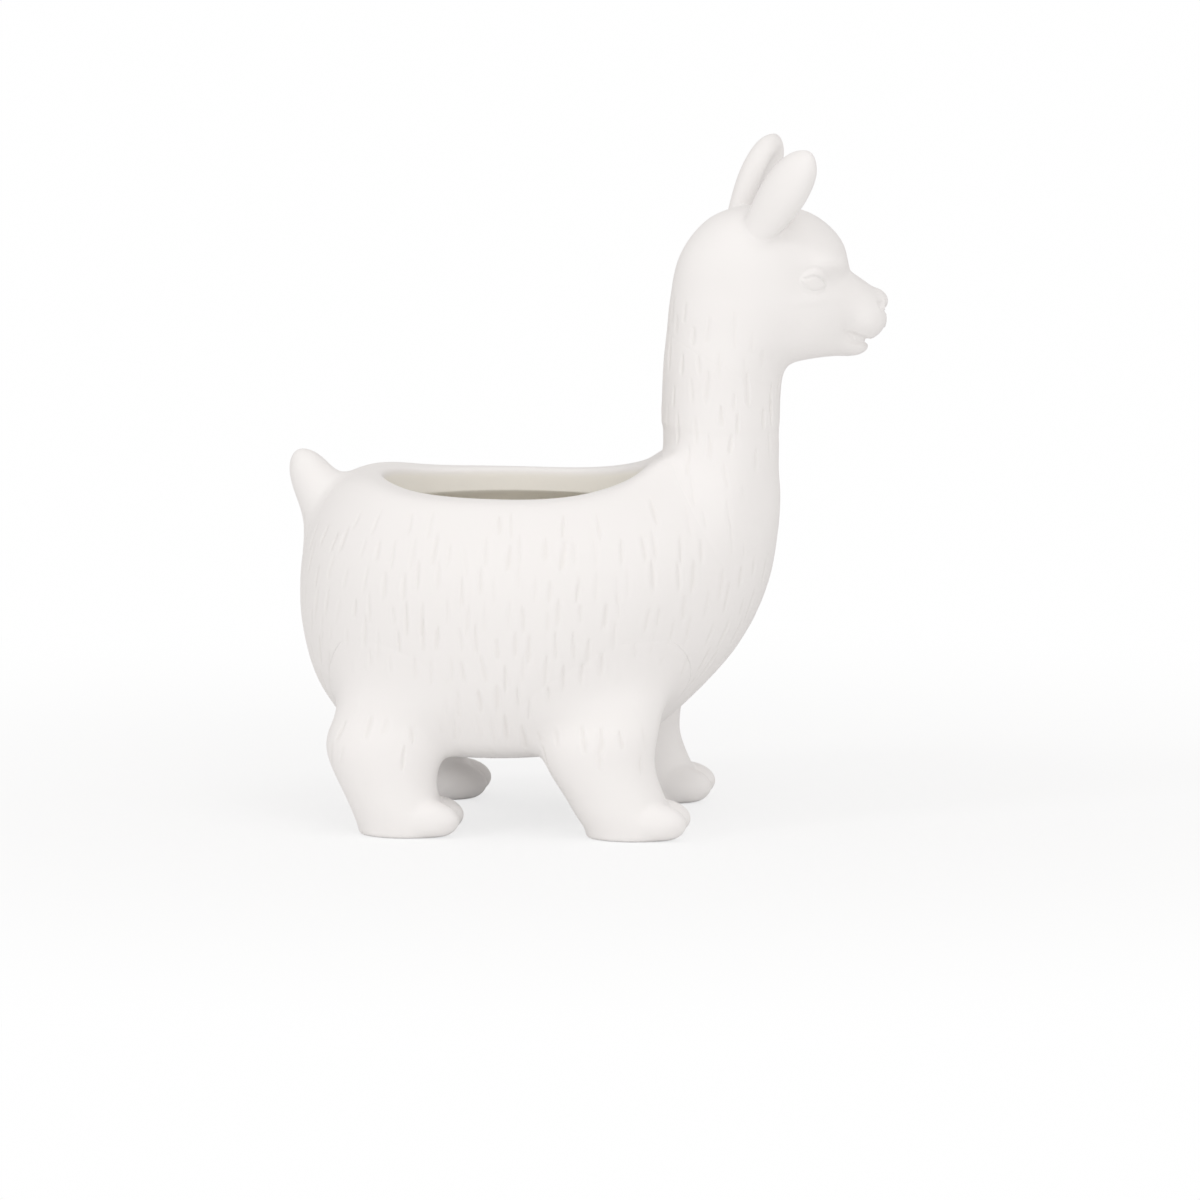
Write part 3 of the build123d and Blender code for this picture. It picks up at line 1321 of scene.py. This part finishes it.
class Fleece:
    """Short strokes of a modelling tool that follow the lie of the coat."""

    def __init__(self, animal: Animal, coat: Coat, seed: int) -> None:
        """Lays strokes on the coat in staggered rows, with a little disorder.

        Args:
            animal: The forms that carry them.
            coat: Where they lie and how big they are.
            seed: Start of the random numbers.
        """
        rng = np.random.default_rng(seed)
        starts, aims = zip(*(band.rays() for band in coat.bands))
        origins, directions = np.concatenate(starts), np.concatenate(aims)
        count = len(origins)
        origins[:, 2] += rng.uniform(-coat.drift, coat.drift, count)
        turn = rng.uniform(-coat.twist, coat.twist, count) * (1.0 + 1.8 * (origins[:, 0] > 0.0))
        cosine, sine = np.cos(turn), np.sin(turn)
        directions = np.stack([
            directions[:, 0] * cosine - directions[:, 1] * sine,
            directions[:, 0] * sine + directions[:, 1] * cosine,
            directions[:, 2],
        ], 1)
        centres = cast(animal.whole_coat, origins, directions, 90.0, 60)

        # None on the crown, round the tail, on the rim or on the face
        bare, reach = coat.tail
        keep = (centres[:, 2] < coat.top) & (np.linalg.norm(centres - bare, axis=1) > reach)
        keep &= ~((centres[:, 2] > 69.0) & (centres[:, 0] < 14.0))
        keep &= ~((centres[:, 2] > 97.0) & (animal.face.local(centres)[:, 0] > 9.0))
        centres = centres[keep]

        # They hang straight down, but lean with the coat on the rump, the flank and the chest
        normals = unit(slope_of(animal.whole_coat, centres))
        x, z = centres[:, 0], centres[:, 2]
        lean = 0.55 * ramp(-x, 38.0, 60.0) - 0.18 * bump(x, -10.0, 16.0) * ramp(-z, -40.0, -20.0)
        lean += 0.22 * ramp(x, 10.0, 34.0) * ramp(-z, -62.0, -30.0)
        lean += rng.normal(0.0, 0.07, len(x))
        flow = np.stack([lean, np.zeros(len(x)), np.ones(len(x))], 1)
        self.flows = unit(flow - normals * (flow * normals).sum(1)[:, None])
        self.centres = centres
        self.halves = rng.uniform(*coat.halves, len(x))
        self.widths = rng.uniform(*coat.widths, len(x))
        self.depths = rng.uniform(*coat.depths, len(x))
        log.info("fleece: %d strokes", len(x))

    def __call__(self, points: Array) -> Array:
        """Height of the strokes at points on the coat.

        A stroke is a tear: its half width is w sqrt(1 - t^2) (1 - 0.3 t) at the share t of its
        half length, and its depth falls off as the square of a cosine across it, with a low burr.

        Args:
            points: (n, 3) points.

        Returns:
            (n,) heights, below zero in a stroke.
        """
        height = np.zeros(len(points))
        for start in range(0, len(points), FLEECE_CHUNK):
            part = points[start : start + FLEECE_CHUNK, None, :] - self.centres[None]
            along = np.einsum("ijk,jk->ij", part, self.flows)
            off = np.sqrt(np.maximum(np.einsum("ijk,ijk->ij", part, part) - along**2, 0.0))
            t = np.clip(along / self.halves, -1.0, 1.0)
            width = self.widths * np.sqrt(1.0 - t**2) * (1.0 - 0.3 * t) + 1e-3
            share = off / width
            fall = np.cos(np.minimum(share, 1.0) * math.pi / 2.0) ** 2
            groove = np.where(share < 1.0, fall, 0.0)
            burr = 0.22 * bump(share, 1.25, 0.35) * np.sqrt(1.0 - t**2)
            height[start : start + FLEECE_CHUNK] = ((burr - groove) * self.depths).sum(1)
        return height


@dataclass(frozen=True)
class Section:
    """A section of the animal that is meshed from the tip down to its seat on another one.

    The rows of its grid are, in order: a fan of rays at the tip, rings of rays round the spine,
    a flare from the last ring to the seat on the carrier, which runs a hair under the carrier's
    surface where the fillet ends, and a floor inside the carrier's wall.

    Attributes:
        name: CAD node that it stands for; not used.
        union: Field of the section run on to its carrier.
        carrier: Field of the carrier alone.
        bed: Field that the floor lies inside of.
        spine: (2, 3) inner points near the tip and near the seat.
        basis: Rows are the ring's two directions and the direction from seat to tip.
        seat: (columns, 3) rough points of the seat's outline, or None if it has no flare.
        reach: Longest ray.
        columns: Points round a ring.
        rows: Number of rows in the fan, on the spine and in the flare.
        depth: How far under the bed's surface its floor is.
        first_tilt: Angle of the first ray off the spine, in degrees.
        sink: How far the flare runs under the carrier where its fillet has no height left.
        floor_rows: Number of rows of the floor.
    """

    name: str
    union: Field
    carrier: Field
    bed: Field
    spine: Array
    basis: Array
    seat: Array | None
    reach: float
    columns: int
    rows: tuple[int, int, int]
    depth: float = 1.5
    first_tilt: float = 1.5
    sink: float = 0.1
    floor_rows: int = 6

    def grid(self) -> tuple[Array, Array]:
        """Points of the section and how much of the fleece each takes.

        Returns:
            (rows, columns, 3) points and (rows, columns) weights from 0 to 1.
        """
        turn = circle(self.columns)
        round_ring = np.cos(turn)[:, None] * self.basis[0] + np.sin(turn)[:, None] * self.basis[1]
        fan, rings, flare = self.rows
        tilt = np.radians(np.linspace(self.first_tilt, 90.0, fan, endpoint=False))
        sine, cosine = np.sin(tilt)[:, None, None], np.cos(tilt)[:, None, None]
        fan_rays = sine * round_ring + cosine * self.basis[2]
        share = np.linspace(0.0, 1.0, rings)[:, None, None]
        along = self.spine[0] + share * (self.spine[1] - self.spine[0])
        shape = (rings, self.columns, 3)
        starts = [np.broadcast_to(self.spine[0], fan_rays.shape), np.broadcast_to(along, shape)]
        rays = [fan_rays, np.broadcast_to(round_ring, shape)]
        tip = cast(self.union, np.concatenate(starts), np.concatenate(rays), self.reach)
        if self.seat is None:
            return tip, np.ones(tip.shape[:2])
        share = np.linspace(0.0, 1.0, flare + 1)[1:, None, None]
        seat = settle(self.carrier, self.seat, 9)
        rough = tip[-1] + share * (seat - tip[-1])
        slope = settle(self.union, rough, 7)
        flat = slope.reshape(-1, 3)
        sunk = self.sink * (1.0 - np.clip(self.carrier(flat) / self.sink, 0.0, 1.0))
        slope = (flat - unit(slope_of(self.union, flat)) * sunk[:, None]).reshape(slope.shape)
        share = np.linspace(0.0, 1.0, self.floor_rows)[:, None, None]
        floor = slope[-1] + share * 0.92 * (slope[-1].mean(0) - slope[-1])
        floor = settle(lambda points: self.bed(points) + self.depth, floor, 5)
        grid = np.concatenate([tip, slope, floor])
        weights = np.ones(grid.shape[:2])
        weights[-self.floor_rows :] = 0.0
        return grid, weights


@dataclass(frozen=True)
class Trunk:
    """Mesh of the pot: out along its underside, up its flank, over the rim and back down inside.

    Attributes:
        animal: The forms.
        columns: Points round a ring.
        detail: Share of the full number of rows.
        rim_middle: From the mouth's edge out to the middle of the rim.
        core: Depth under the rim's crest at which the rays over it start.
        frame: Height over the core and reach into the mouth of the frame that they pass through.
        shoulder: Height at which they take over from the rays of the flank.
        clear: Distance from an edge at which a run of level rays starts or ends.
    """

    animal: Animal
    columns: int
    detail: float
    rim_middle: float = 1.9
    core: float = 3.4
    frame: tuple[float, float] = (4.6, 2.2)
    shoulder: float = 68.8
    clear: float = 1.2

    @property
    def aims(self) -> Array:
        """Level directions outwards, one for each column."""
        turn = circle(self.columns)
        return np.stack([np.cos(turn), np.sin(turn), np.zeros(self.columns)], 1)

    @property
    def middle(self) -> Array:
        """Middle of the mouth, at height 0."""
        return np.array([self.animal.pot_form.mouth_middle, 0.0, 0.0])

    def shares(self, count: int, closed: bool = True) -> Array:
        """Even shares from 0 to 1 at the chosen fineness.

        Args:
            count: Their number at full fineness.
            closed: Whether 1 is the last of them.

        Returns:
            (n, 1) shares.
        """
        return np.linspace(0.0, 1.0, max(int(count * self.detail), 3), endpoint=closed)[:, None]

    def level_cast(
        self, field: Field, low: Array | float, high: Array | float, count: int
    ) -> Array:
        """Rows of points where level rays from over the mouth's middle leave a form.

        Args:
            field: The form's field.
            low: Height of the first row, which may differ from column to column.
            high: Height of the last row.
            count: Number of rows at full fineness.

        Returns:
            (rows, columns, 3) points.
        """
        levels = low + self.shares(count) * (high - low) + np.zeros((1, self.columns))
        starts = self.middle + np.zeros((*levels.shape, 3))
        starts[..., 2] = levels
        return cast(field, starts, np.broadcast_to(self.aims, starts.shape), 72.0, 40)

    def over_rim(self) -> tuple[Array, int]:
        """Points over the rim, by rays from inside it through a frame from flank to mouth.

        Returns:
            (rows, columns, 3) points, and how many of the rows are on the flank.
        """
        outer, aims = self.animal.outer, self.aims
        length, width = self.animal.pot_form.mouth
        radius = length * width / np.hypot(width * aims[:, 0], length * aims[:, 1])
        crest = self.middle + aims * (radius + self.rim_middle)[:, None] + 90.0 * UP
        down = np.broadcast_to(-UP, crest.shape)
        crest = cast(lambda points: -outer(points), crest, down, 30.0, 60)
        core = crest - self.core * UP
        shoulder = self.level_cast(outer, self.shoulder, self.shoulder, 1)[0]
        out = ((shoulder - self.middle) * aims).sum(1) - radius - self.rim_middle
        low, level = shoulder[:, 2] - core[:, 2], np.ones(self.columns)
        high, into = self.frame[0] * level, -self.frame[1] * level
        path = ((out, low), (out, high), (0.0 * level, high), (into, high), (into, -level))
        rows = []
        for first, second, count in zip(path, path[1:], (8, 14, 5, 7)):
            share = self.shares(count, closed=False)
            across = first[0] + share * (second[0] - first[0])
            rise = first[1] + share * (second[1] - first[1])
            rows.append(across[..., None] * aims + rise[..., None] * UP)
        spokes = unit(np.concatenate(rows))
        points = cast(self.animal.pot, np.broadcast_to(core, spokes.shape), spokes, 40.0, 80)
        return points, len(rows[0])

    def grid(self) -> tuple[Array, Array]:
        """Points of the pot, ring after ring along its profile, and their share of the fleece.

        Returns:
            (rows, columns, 3) points and (rows, columns) weights.
        """
        form, hollow, pot = self.animal.pot_form, self.animal.hollow, self.animal.pot
        floor, lip = form.floor, form.lip
        rim, outside = self.over_rim()
        low = form.underside + self.clear
        flank = self.level_cast(self.animal.outer, low, self.shoulder - 0.6, 70)
        inside = np.concatenate([
            self.level_cast(hollow, rim[-1, :, 2] - 0.5, lip + 0.5, 4),
            self.level_cast(hollow, lip - 0.8, lip - 4.0, 4),
            self.level_cast(hollow, lip - 6.0, floor + self.clear, 10),
        ])
        drain = self.middle + self.aims * form.drain
        under, well = drain + form.underside * UP, drain + floor * UP
        below = under + self.shares(8, closed=False)[..., None] ** 0.8 * (flank[0] - under)
        bottom = inside[-1] + self.shares(5)[1:, :, None] * (well - inside[-1])
        hole = well + np.linspace(0.0, 1.0, 5)[1:-1, None, None] * (under - well)
        below, bottom, hole = (settle(pot, rows, 6) for rows in (below, bottom, hole))
        grid = np.concatenate([below, flank, rim, settle(pot, inside, 3), bottom, hole])
        weights = np.zeros(grid.shape[:2])
        weights[: len(below) + len(flank) + outside] = 1.0
        return grid, weights


@dataclass(frozen=True)
class Head:
    """Mesh of the head, by rays from a point between the ears and the throat.

    Attributes:
        animal: The forms.
        columns: Rays round the upright axis.
        rows: Rays from the crown down to the neck.
        start: Where they start: ahead, left and up in the head's frame.
        stub: Length of the ears' feet that the head's fillets run on to.
    """

    animal: Animal
    columns: int
    rows: int
    start: tuple[float, float, float] = (9.0, 0.0, 112.5)
    stub: float = 3.0

    def field(self, points: Array) -> Array:
        """Field of the head run on to the neck, closed under the neck's surface below the joint.

        Args:
            points: (n, 3) points.

        Returns:
            (n,) distances.
        """
        value = self.animal.neck_and_head(points)
        for side, ear in self.animal.ears.items():
            base, axes = ear.spine(self.animal.face)
            along = (points - base) @ axes[2]
            stub = cut(self.animal.ear_fields[side](points) + 0.15, along - self.stub, 1.5)
            value = join(value, stub, self.animal.fillets.ear)
        below = self.animal.under_joint(points)
        return cut(value + tuck(below, 4.0, (7.0, 11.0)), below - 11.0, 1.0)

    def grid(self) -> tuple[Array, Array]:
        """Points of the head and their share of the fleece.

        Returns:
            (rows, columns, 3) points and (rows, columns) weights.
        """
        # Closer together on the face and round the crown than at the nape
        share = np.linspace(0.0, 1.0, self.columns, endpoint=False)
        turn = 2.0 * math.pi * share - 0.5 * np.sin(2.0 * math.pi * share)
        share = (np.arange(self.rows) + 0.5) / self.rows
        tilt = math.pi * (share + 0.09 * np.sin(2.0 * math.pi * share))[:, None]
        sine, upright = np.sin(tilt), np.cos(tilt) * np.ones_like(turn)
        rays = np.stack([sine * np.cos(turn), sine * np.sin(turn), upright], axis=-1)
        face = self.animal.face
        start = face.world(np.array([self.start]))[0]
        grid = cast(self.field, start, rays @ turned_axes(face.turn), 44.0, 30)
        return grid, np.ones(grid.shape[:2])


class Wiring:
    """Adds nodes to the tree of a material or a world."""

    def __init__(self, tree: bpy.types.NodeTree) -> None:
        """Keeps the tree.

        Args:
            tree: The node tree.
        """
        self.nodes, self.links = tree.nodes, tree.links

    def feed(self, node: bpy.types.Node, inputs: dict[str | int, object]) -> bpy.types.Node:
        """Sets a node's inputs.

        Args:
            node: The node.
            inputs: For each input a socket to link to it, or its value.

        Returns:
            The node.
        """
        for name, value in inputs.items():
            if isinstance(value, bpy.types.NodeSocket):
                self.links.new(value, node.inputs[name])
            else:
                node.inputs[name].default_value = value
        return node

    def add(self, kind: str, inputs: dict[str | int, object], **settings: object) -> bpy.types.Node:
        """Adds a node.

        Args:
            kind: Its type, less the word ShaderNode.
            inputs: For each input a socket to link to it, or its value.
            **settings: Its own properties.

        Returns:
            The node.
        """
        node = self.nodes.new("ShaderNode" + kind)
        for name, value in settings.items():
            setattr(node, name, value)
        return self.feed(node, inputs)

    def mix(
        self, first: object, second: object, share: bpy.types.NodeSocket
    ) -> bpy.types.NodeSocket:
        """Mixes two colours.

        Args:
            first: Colour, or socket, at share 0.
            second: Colour, or socket, at share 1.
            share: Socket of the share.

        Returns:
            Socket of the mixed colour.
        """
        inputs = {"Factor": share, "A": first, "B": second}
        node = self.add("Mix", inputs, data_type="RGBA", clamp_factor=True)
        return node.outputs["Result"]


@dataclass(frozen=True)
class Bisque:
    """Matt unglazed ceramic.

    Attributes:
        colour: Base colour.
        mottle_and_shade: Colour of the clay's faint random clouds, and painted shade in the
            strokes' hollow grooves.
        inner: Colour inside the pot: paler, as painted light on the shaded hollow, and warmer.
        roughness: Roughness of the surface.
        shine: Strength of its highlights.
        cloud: Share of the darker colour in the clay's faint clouds.
        grain: Height of the clay's grain, in metres.
    """

    colour: tuple[float, float, float] = (0.88, 0.862, 0.852)
    mottle_and_shade: tuple[float, float, float] = (0.80, 0.775, 0.75)
    inner: tuple[float, float, float] = (0.95, 0.922, 0.86)
    roughness: float = 0.72
    shine: float = 0.32
    cloud: float = 0.16
    grain: float = 0.00003

    def build(self) -> bpy.types.Material:
        """Makes the procedural material.

        Returns:
            The material.
        """
        material = bpy.data.materials.new("bisque")
        material.use_nodes = True
        wiring = Wiring(material.node_tree)
        place = wiring.add("TexCoord", {}).outputs["Object"]
        cloud = wiring.add("TexNoise", {"Vector": place, "Scale": 55.0, "Detail": 3.0})
        grain = wiring.add("TexNoise", {"Vector": place, "Scale": 2600.0, "Detail": 2.0})
        # Groove depth of the fleece strokes, which darkens the colour as painted shade
        stroke = wiring.add("Attribute", {}, attribute_name="stroke").outputs["Fac"]
        inside = wiring.add("Attribute", {}, attribute_name="inside").outputs["Fac"]
        # Mix share: the clay's random clouds, plus painted shade that darkens the strokes' grooves
        spread = {0: cloud.outputs["Fac"], 1: self.cloud, 2: stroke}
        spread = wiring.add("Math", spread, operation="MULTIPLY_ADD").outputs["Value"]
        tint = wiring.mix((*self.colour, 1.0), (*self.mottle_and_shade, 1.0), spread)
        relief = {"Strength": 0.35, "Distance": self.grain, "Height": grain.outputs["Fac"]}
        wiring.feed(wiring.nodes["Principled BSDF"], {
            # Inside the pot the colour is paler, painted light on the shaded hollow, and warmer
            "Base Color": wiring.mix(tint, (*self.inner, 1.0), inside),
            "Roughness": self.roughness,
            "Specular IOR Level": self.shine,
            "Normal": wiring.add("Bump", relief).outputs["Normal"],
        })
        return material


class Sculptor:
    """Meshes the sections, lays the fleece on them and gives them their finish."""

    def __init__(self, draft: bool) -> None:
        """Makes the forms.

        Args:
            draft: Whether coarse meshes will do.
        """
        self.scale = 0.5 if draft else 1.0
        self.animal = Animal()
        self.fleece = Fleece(self.animal, Coat(), SEED)
        self.material = Bisque().build()

    def dress(
        self,
        name: str,
        grid: Array,
        weights: Array,
        form: Field,
        extra: Field | None = None,
        ring: bool = False,
    ) -> None:
        """Displaces a grid along the form's normals, makes its mesh and hangs it on the frame.

        Args:
            name: CAD node that the piece stands for.
            grid: (rows, columns, 3) points on the form.
            weights: (rows, columns) shares of the fleece.
            form: Field whose normals are followed.
            extra: Further heights along the normal, such as a face's details.
            ring: Whether the last row joins the first.
        """
        flat = grid.reshape(-1, 3).copy()
        height = np.zeros(len(flat))
        coated = weights.ravel() > 0.0
        height[coated] = self.fleece(flat[coated])
        # Depth of the strokes' grooves, which the material turns into painted shade
        stroke = np.clip(-height / 0.6, 0.0, 1.0)
        if extra is not None:
            height = height + extra(flat)
        raised = np.abs(height) > 1e-4
        flat[raised] += unit(slope_of(form, flat[raised])) * height[raised, None]
        thing = skin(name + "_clay", flat.reshape(grid.shape), ring)
        layers = {"stroke": stroke}
        if ring:
            # Share of the pot's inside, which the material paints paler as painted light, and
            # warmer
            layers["inside"] = ramp(-self.animal.outer(flat), 0.4, 2.0)
        for layer, values in layers.items():
            whole = np.zeros(len(thing.data.vertices), np.float32)
            whole[: len(values)] = values
            thing.data.attributes.new(layer, "FLOAT", "POINT").data.foreach_set("value", whole)
        thing.data.materials.append(self.material)
        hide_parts(name)
        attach(thing, BODY)
        log.info("%s: %d faces", name, len(thing.data.polygons))

    def count(self, full: int) -> int:
        """A number of rows or columns at the chosen fineness.

        Args:
            full: The number at full fineness.

        Returns:
            The number to use.
        """
        return max(int(full * self.scale), 4)

    def trunk(self) -> None:
        """Builds the pot."""
        grid, weights = Trunk(self.animal, self.count(720), self.scale).grid()
        self.dress("pot_body", grid, weights, self.animal.pot, ring=True)

    def neck(self) -> None:
        """Builds the neck."""
        columns = self.count(280)
        turn = circle(columns)
        ahead, aside = np.cos(turn), np.sin(turn)
        front, rear = np.maximum(ahead, 0.0), np.maximum(-ahead, 0.0)
        form, outer = self.animal.neck_form, self.animal.outer
        to_front, to_rear, to_side = form.foot
        low, front_rise, rear_rise = form.foot_height
        seat = np.stack([
            form.middle + to_front * front - to_rear * rear,
            to_side * aside,
            low + front_rise * front**2 + rear_rise * rear,
        ], 1)

        def union(points: Array) -> Array:
            """Column, closed under the head's surface above the joint.

            Args:
                points: (n, 3) points.

            Returns:
                (n,) distances, below zero inside.
            """
            above = -self.animal.under_joint(points)
            column = self.animal.column(points) + tuck(above, -4.0, (-1.0, 4.0))
            return cut(column, above - 6.0, 1.0)

        spine = np.array([[form.middle, 0.0, 106.0], [form.middle, 0.0, 88.0]])
        rows = (self.count(16), self.count(34), self.count(60))
        section = Section(
            "neck", union, self.animal.pot, outer, spine, np.eye(3), seat, 40.0, columns, rows, 2.0
        )
        self.dress("neck", *section.grid(), self.animal.column)

    def head(self) -> None:
        """Builds the head."""
        piece = Head(self.animal, self.count(430), self.count(226))
        self.dress("head", *piece.grid(), self.animal.neck_and_head, self.animal.face.details)

    def ear(self, side: Side) -> None:
        """Builds an ear.

        Args:
            side: Which ear.
        """
        form, own = self.animal.ears[side], self.animal.ear_fields[side]
        base, axes = form.spine(self.animal.face)
        start = base - 1.2 * axes[0]
        spine = np.stack([start + axes[2] * form.length * share for share in (0.86, -0.12)])
        name, rows = f"{side.name.lower()}_ear", (self.count(22), self.count(90), 0)
        section = Section(
            name, own, own, own, spine, axes, None, 14.0, self.count(120), rows, first_tilt=2.0
        )
        self.dress(name, *section.grid(), own)

    def tail(self) -> None:
        """Builds the tail."""
        columns = self.count(140)
        form, pot, union = self.animal.tail_form, self.animal.pot, self.animal.pot_and_tail
        axes, base = form.axes(), np.asarray(form.base)
        rough = base + axes[2] * 7.0
        reach = (*form.foot, form.foot[2])
        outline = self.outline(pot, rough, axes[0], circle(columns), reach)
        spine = np.stack([base + axes[2] * form.length * share for share in (0.86, 0.72)])
        rows = (self.count(24), self.count(10), self.count(50))
        section = Section(
            "tail", union, pot, self.animal.outer, spine, axes, outline, 30.0, columns, rows,
            first_tilt=2.0,
        )
        self.dress("tail", *section.grid(), union)

    def outline(
        self, field: Field, rough: Array, heading: Array, turn: Array, reach: tuple[float, ...]
    ) -> Array:
        """Oval outline of a seat in the plane that touches its carrier.

        Args:
            field: The carrier's field.
            rough: Point near the seat's middle.
            heading: Rough direction ahead.
            turn: Angles round the outline.
            reach: How far it reaches ahead, behind, to the left and to the right.

        Returns:
            (n, 3) points.
        """
        centre = settle(field, rough[None], 12)[0]
        normal = unit(slope_of(field, centre[None]))[0]
        ahead = unit(heading - normal * (heading @ normal))
        aside = np.cross(normal, ahead)
        aside *= np.sign(aside[1])
        cosine, sine = np.cos(turn)[:, None], np.sin(turn)[:, None]
        to_front, to_rear, to_left, to_right = reach
        along = to_front * np.maximum(cosine, 0.0) + to_rear * np.minimum(cosine, 0.0)
        across = to_left * np.maximum(sine, 0.0) + to_right * np.minimum(sine, 0.0)
        return centre + along * ahead + across * aside

    def leg(self, pair: Pair, side: Side) -> None:
        """Builds a leg.

        Args:
            pair: Hind or front.
            side: Left or right.
        """
        columns, key = self.count(240), (pair, side)
        form, outer = self.animal.legs[key], self.animal.outer
        hand, station = side.value, form.station
        lower, upper, back, to_rear = (1.0, 4.6, 4.8, 20.0) if form.hind else (2.0, 7.6, 8.8, 25.0)
        to_front, outwards, inwards = 25.0, 26.0, 17.0
        sides = (outwards, inwards) if hand > 0 else (inwards, outwards)
        low = np.array([station - lower, hand * form.spread, 4.5])
        high = np.array([station - upper, hand * form.spread, 12.0])
        rough = np.array([station - back, hand * 29.0, 24.0])
        heading = np.array([1.0, 0.0, 0.0])
        outline = self.outline(outer, rough, heading, circle(columns), (to_front, to_rear, *sides))
        union = partial(self.animal.pot_and_leg, key)
        spine, rows = np.stack([low, high]), (self.count(40), self.count(14), self.count(64))
        section = Section(
            form.name, union, outer, outer, spine, DOWNWARDS, outline, 34.0, columns, rows
        )
        self.dress(form.name, *section.grid(), union)


@dataclass(frozen=True)
class Studio:
    """Camera, lamps and floor of the photograph.

    Attributes:
        azimuth: Camera's turn round the object, in degrees.
        elevation: Camera's height over the horizon, in degrees.
        distance: From the aim to the camera, in metres.
        scale: Pixels per millimetre at the aim, in a picture 1200 pixels wide.
        centre: Place of the point at aim_height over the origin in that picture.
        aim_height: Height of that point, in millimetres.
        sensor: Width of the camera's sensor, in millimetres.
        lamps: Name, place in metres, side in metres and power in watts of each softbox.
        haze: Distances from the middle between which the floor fades to white, in metres, and its
            share of white at the first.
    """

    azimuth: float = 6.0
    elevation: float = 8.2
    distance: float = 4.1
    scale: float = 4.5925
    centre: tuple[float, float] = (587.8, 481.5)
    aim_height: float = 74.0
    sensor: float = 36.0
    lamps: tuple[tuple[str, tuple[float, float, float], float, float], ...] = (
        ("key", (-1.3, -1.1, 1.0), 0.4, 5.9),
        ("fill", (0.8, -1.9, 0.8), 1.0, 8.8),
        ("top", (0.45, -0.45, 1.5), 0.7, 3.1),
    )
    haze: tuple[float, float, float] = (0.03, 0.30, 0.7)

    def camera(self) -> None:
        """Places the camera where it sees the object as the photograph does."""
        turn, rise = math.radians(self.azimuth), math.radians(self.elevation)
        right = np.array([math.cos(turn), math.sin(turn), 0.0])
        level = np.array([math.sin(turn), -math.cos(turn), 0.0])
        back = level * math.cos(rise) + UP * math.sin(rise)
        up = np.cross(back, right)
        picture = 1200.0
        aim = UP * self.aim_height * MM
        aim = aim + right * (picture / 2.0 - self.centre[0]) / self.scale * MM
        aim = aim - up * (picture / 2.0 - self.centre[1]) / self.scale * MM
        data = bpy.data.cameras.new("camera")
        data.sensor_width = self.sensor
        data.lens = self.sensor * self.distance / (picture / self.scale * MM)
        data.clip_start, data.clip_end = 0.1, 20.0
        thing = bpy.data.objects.new("camera", data)
        thing.location = aim + back * self.distance
        thing.rotation_mode = "QUATERNION"
        thing.rotation_quaternion = Vector(-back).to_track_quat("-Z", "Y")
        bpy.context.scene.collection.objects.link(thing)
        bpy.context.scene.camera = thing

    def lamp(self, name: str, place: tuple[float, float, float], size: float, power: float) -> None:
        """A square softbox that looks at the object.

        Args:
            name: Its name.
            place: Where it is, in metres.
            size: Its side, in metres.
            power: Its power in watts.
        """
        data = bpy.data.lights.new(name, "AREA")
        data.size, data.energy = size, power
        thing = bpy.data.objects.new(name, data)
        thing.location = place
        aim = Vector((0.0, 0.0, 0.07)) - Vector(place)
        thing.rotation_mode = "QUATERNION"
        thing.rotation_quaternion = aim.to_track_quat("-Z", "Y")
        bpy.context.scene.collection.objects.link(thing)

    def floor(self) -> None:
        """A wide pale floor."""
        mesh = bpy.data.meshes.new("floor")
        half = 30
        outline = [(-half, -half, 0), (half, -half, 0), (half, half, 0), (-half, half, 0)]
        mesh.from_pydata(outline, [], [(0, 1, 2, 3)])
        thing = bpy.data.objects.new("floor", mesh)
        bpy.context.scene.collection.objects.link(thing)
        material = bpy.data.materials.new("floor")
        material.use_nodes = True
        wiring = Wiring(material.node_tree)
        colour = {"Base Color": (0.9, 0.9, 0.9, 1.0), "Roughness": 0.9, "Specular IOR Level": 0.1}
        paper = wiring.feed(wiring.nodes["Principled BSDF"], colour).outputs["BSDF"]
        glow = wiring.add("Emission", {"Color": (0.998, 0.998, 0.998, 1.0)}).outputs["Emission"]
        place = wiring.add("TexCoord", {}).outputs["Object"]
        far = wiring.add("VectorMath", {0: place}, operation="LENGTH").outputs["Value"]
        near, end, share = self.haze
        fade = {"Value": far, "From Min": near, "From Max": end, "To Min": share, "To Max": 1.0}
        fade = wiring.add("MapRange", fade, interpolation_type="SMOOTHSTEP").outputs["Result"]
        seen = wiring.add("LightPath", {}).outputs["Is Camera Ray"]
        share = wiring.add("Math", {0: seen, 1: fade}, operation="MULTIPLY").outputs["Value"]
        mix = wiring.add("MixShader", {"Fac": share, 1: paper, 2: glow}).outputs["Shader"]
        wiring.feed(wiring.nodes["Material Output"], {"Surface": mix})
        mesh.materials.append(material)
        thing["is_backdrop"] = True

    def world(self) -> None:
        """Pale surroundings that read as white behind the object."""
        world = bpy.data.worlds.new("studio")
        world.use_nodes = True
        wiring = Wiring(world.node_tree)
        seen = wiring.add("LightPath", {}).outputs["Is Camera Ray"]
        colour = wiring.mix((0.66, 0.645, 0.635, 1.0), (1.0, 1.0, 1.0, 1.0), seen)
        wiring.feed(wiring.nodes["Background"], {"Color": colour})
        bpy.context.scene.world = world

    def build(self) -> None:
        """Sets up the whole studio."""
        self.camera()
        self.floor()
        self.world()
        for lamp in self.lamps:
            self.lamp(*lamp)
        bpy.context.scene.view_settings.view_transform = "Standard"


def corners() -> list[list[float]]:
    """Lowest and highest corner of what is shown.

    Returns:
        Two plain lists of three numbers in metres.
    """
    return [list(corner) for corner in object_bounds()]


def main() -> None:
    """Builds the planter and its studio."""
    logging.basicConfig(level=logging.INFO, format="%(name)s %(message)s")
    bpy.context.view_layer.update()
    sculptor = Sculptor(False)
    sculptor.trunk()
    sculptor.neck()
    sculptor.head()
    for side in Side:
        sculptor.ear(side)
    sculptor.tail()
    for pair in Pair:
        for side in Side:
            sculptor.leg(pair, side)
    Studio().build()


if __name__ == "__main__":
    main()
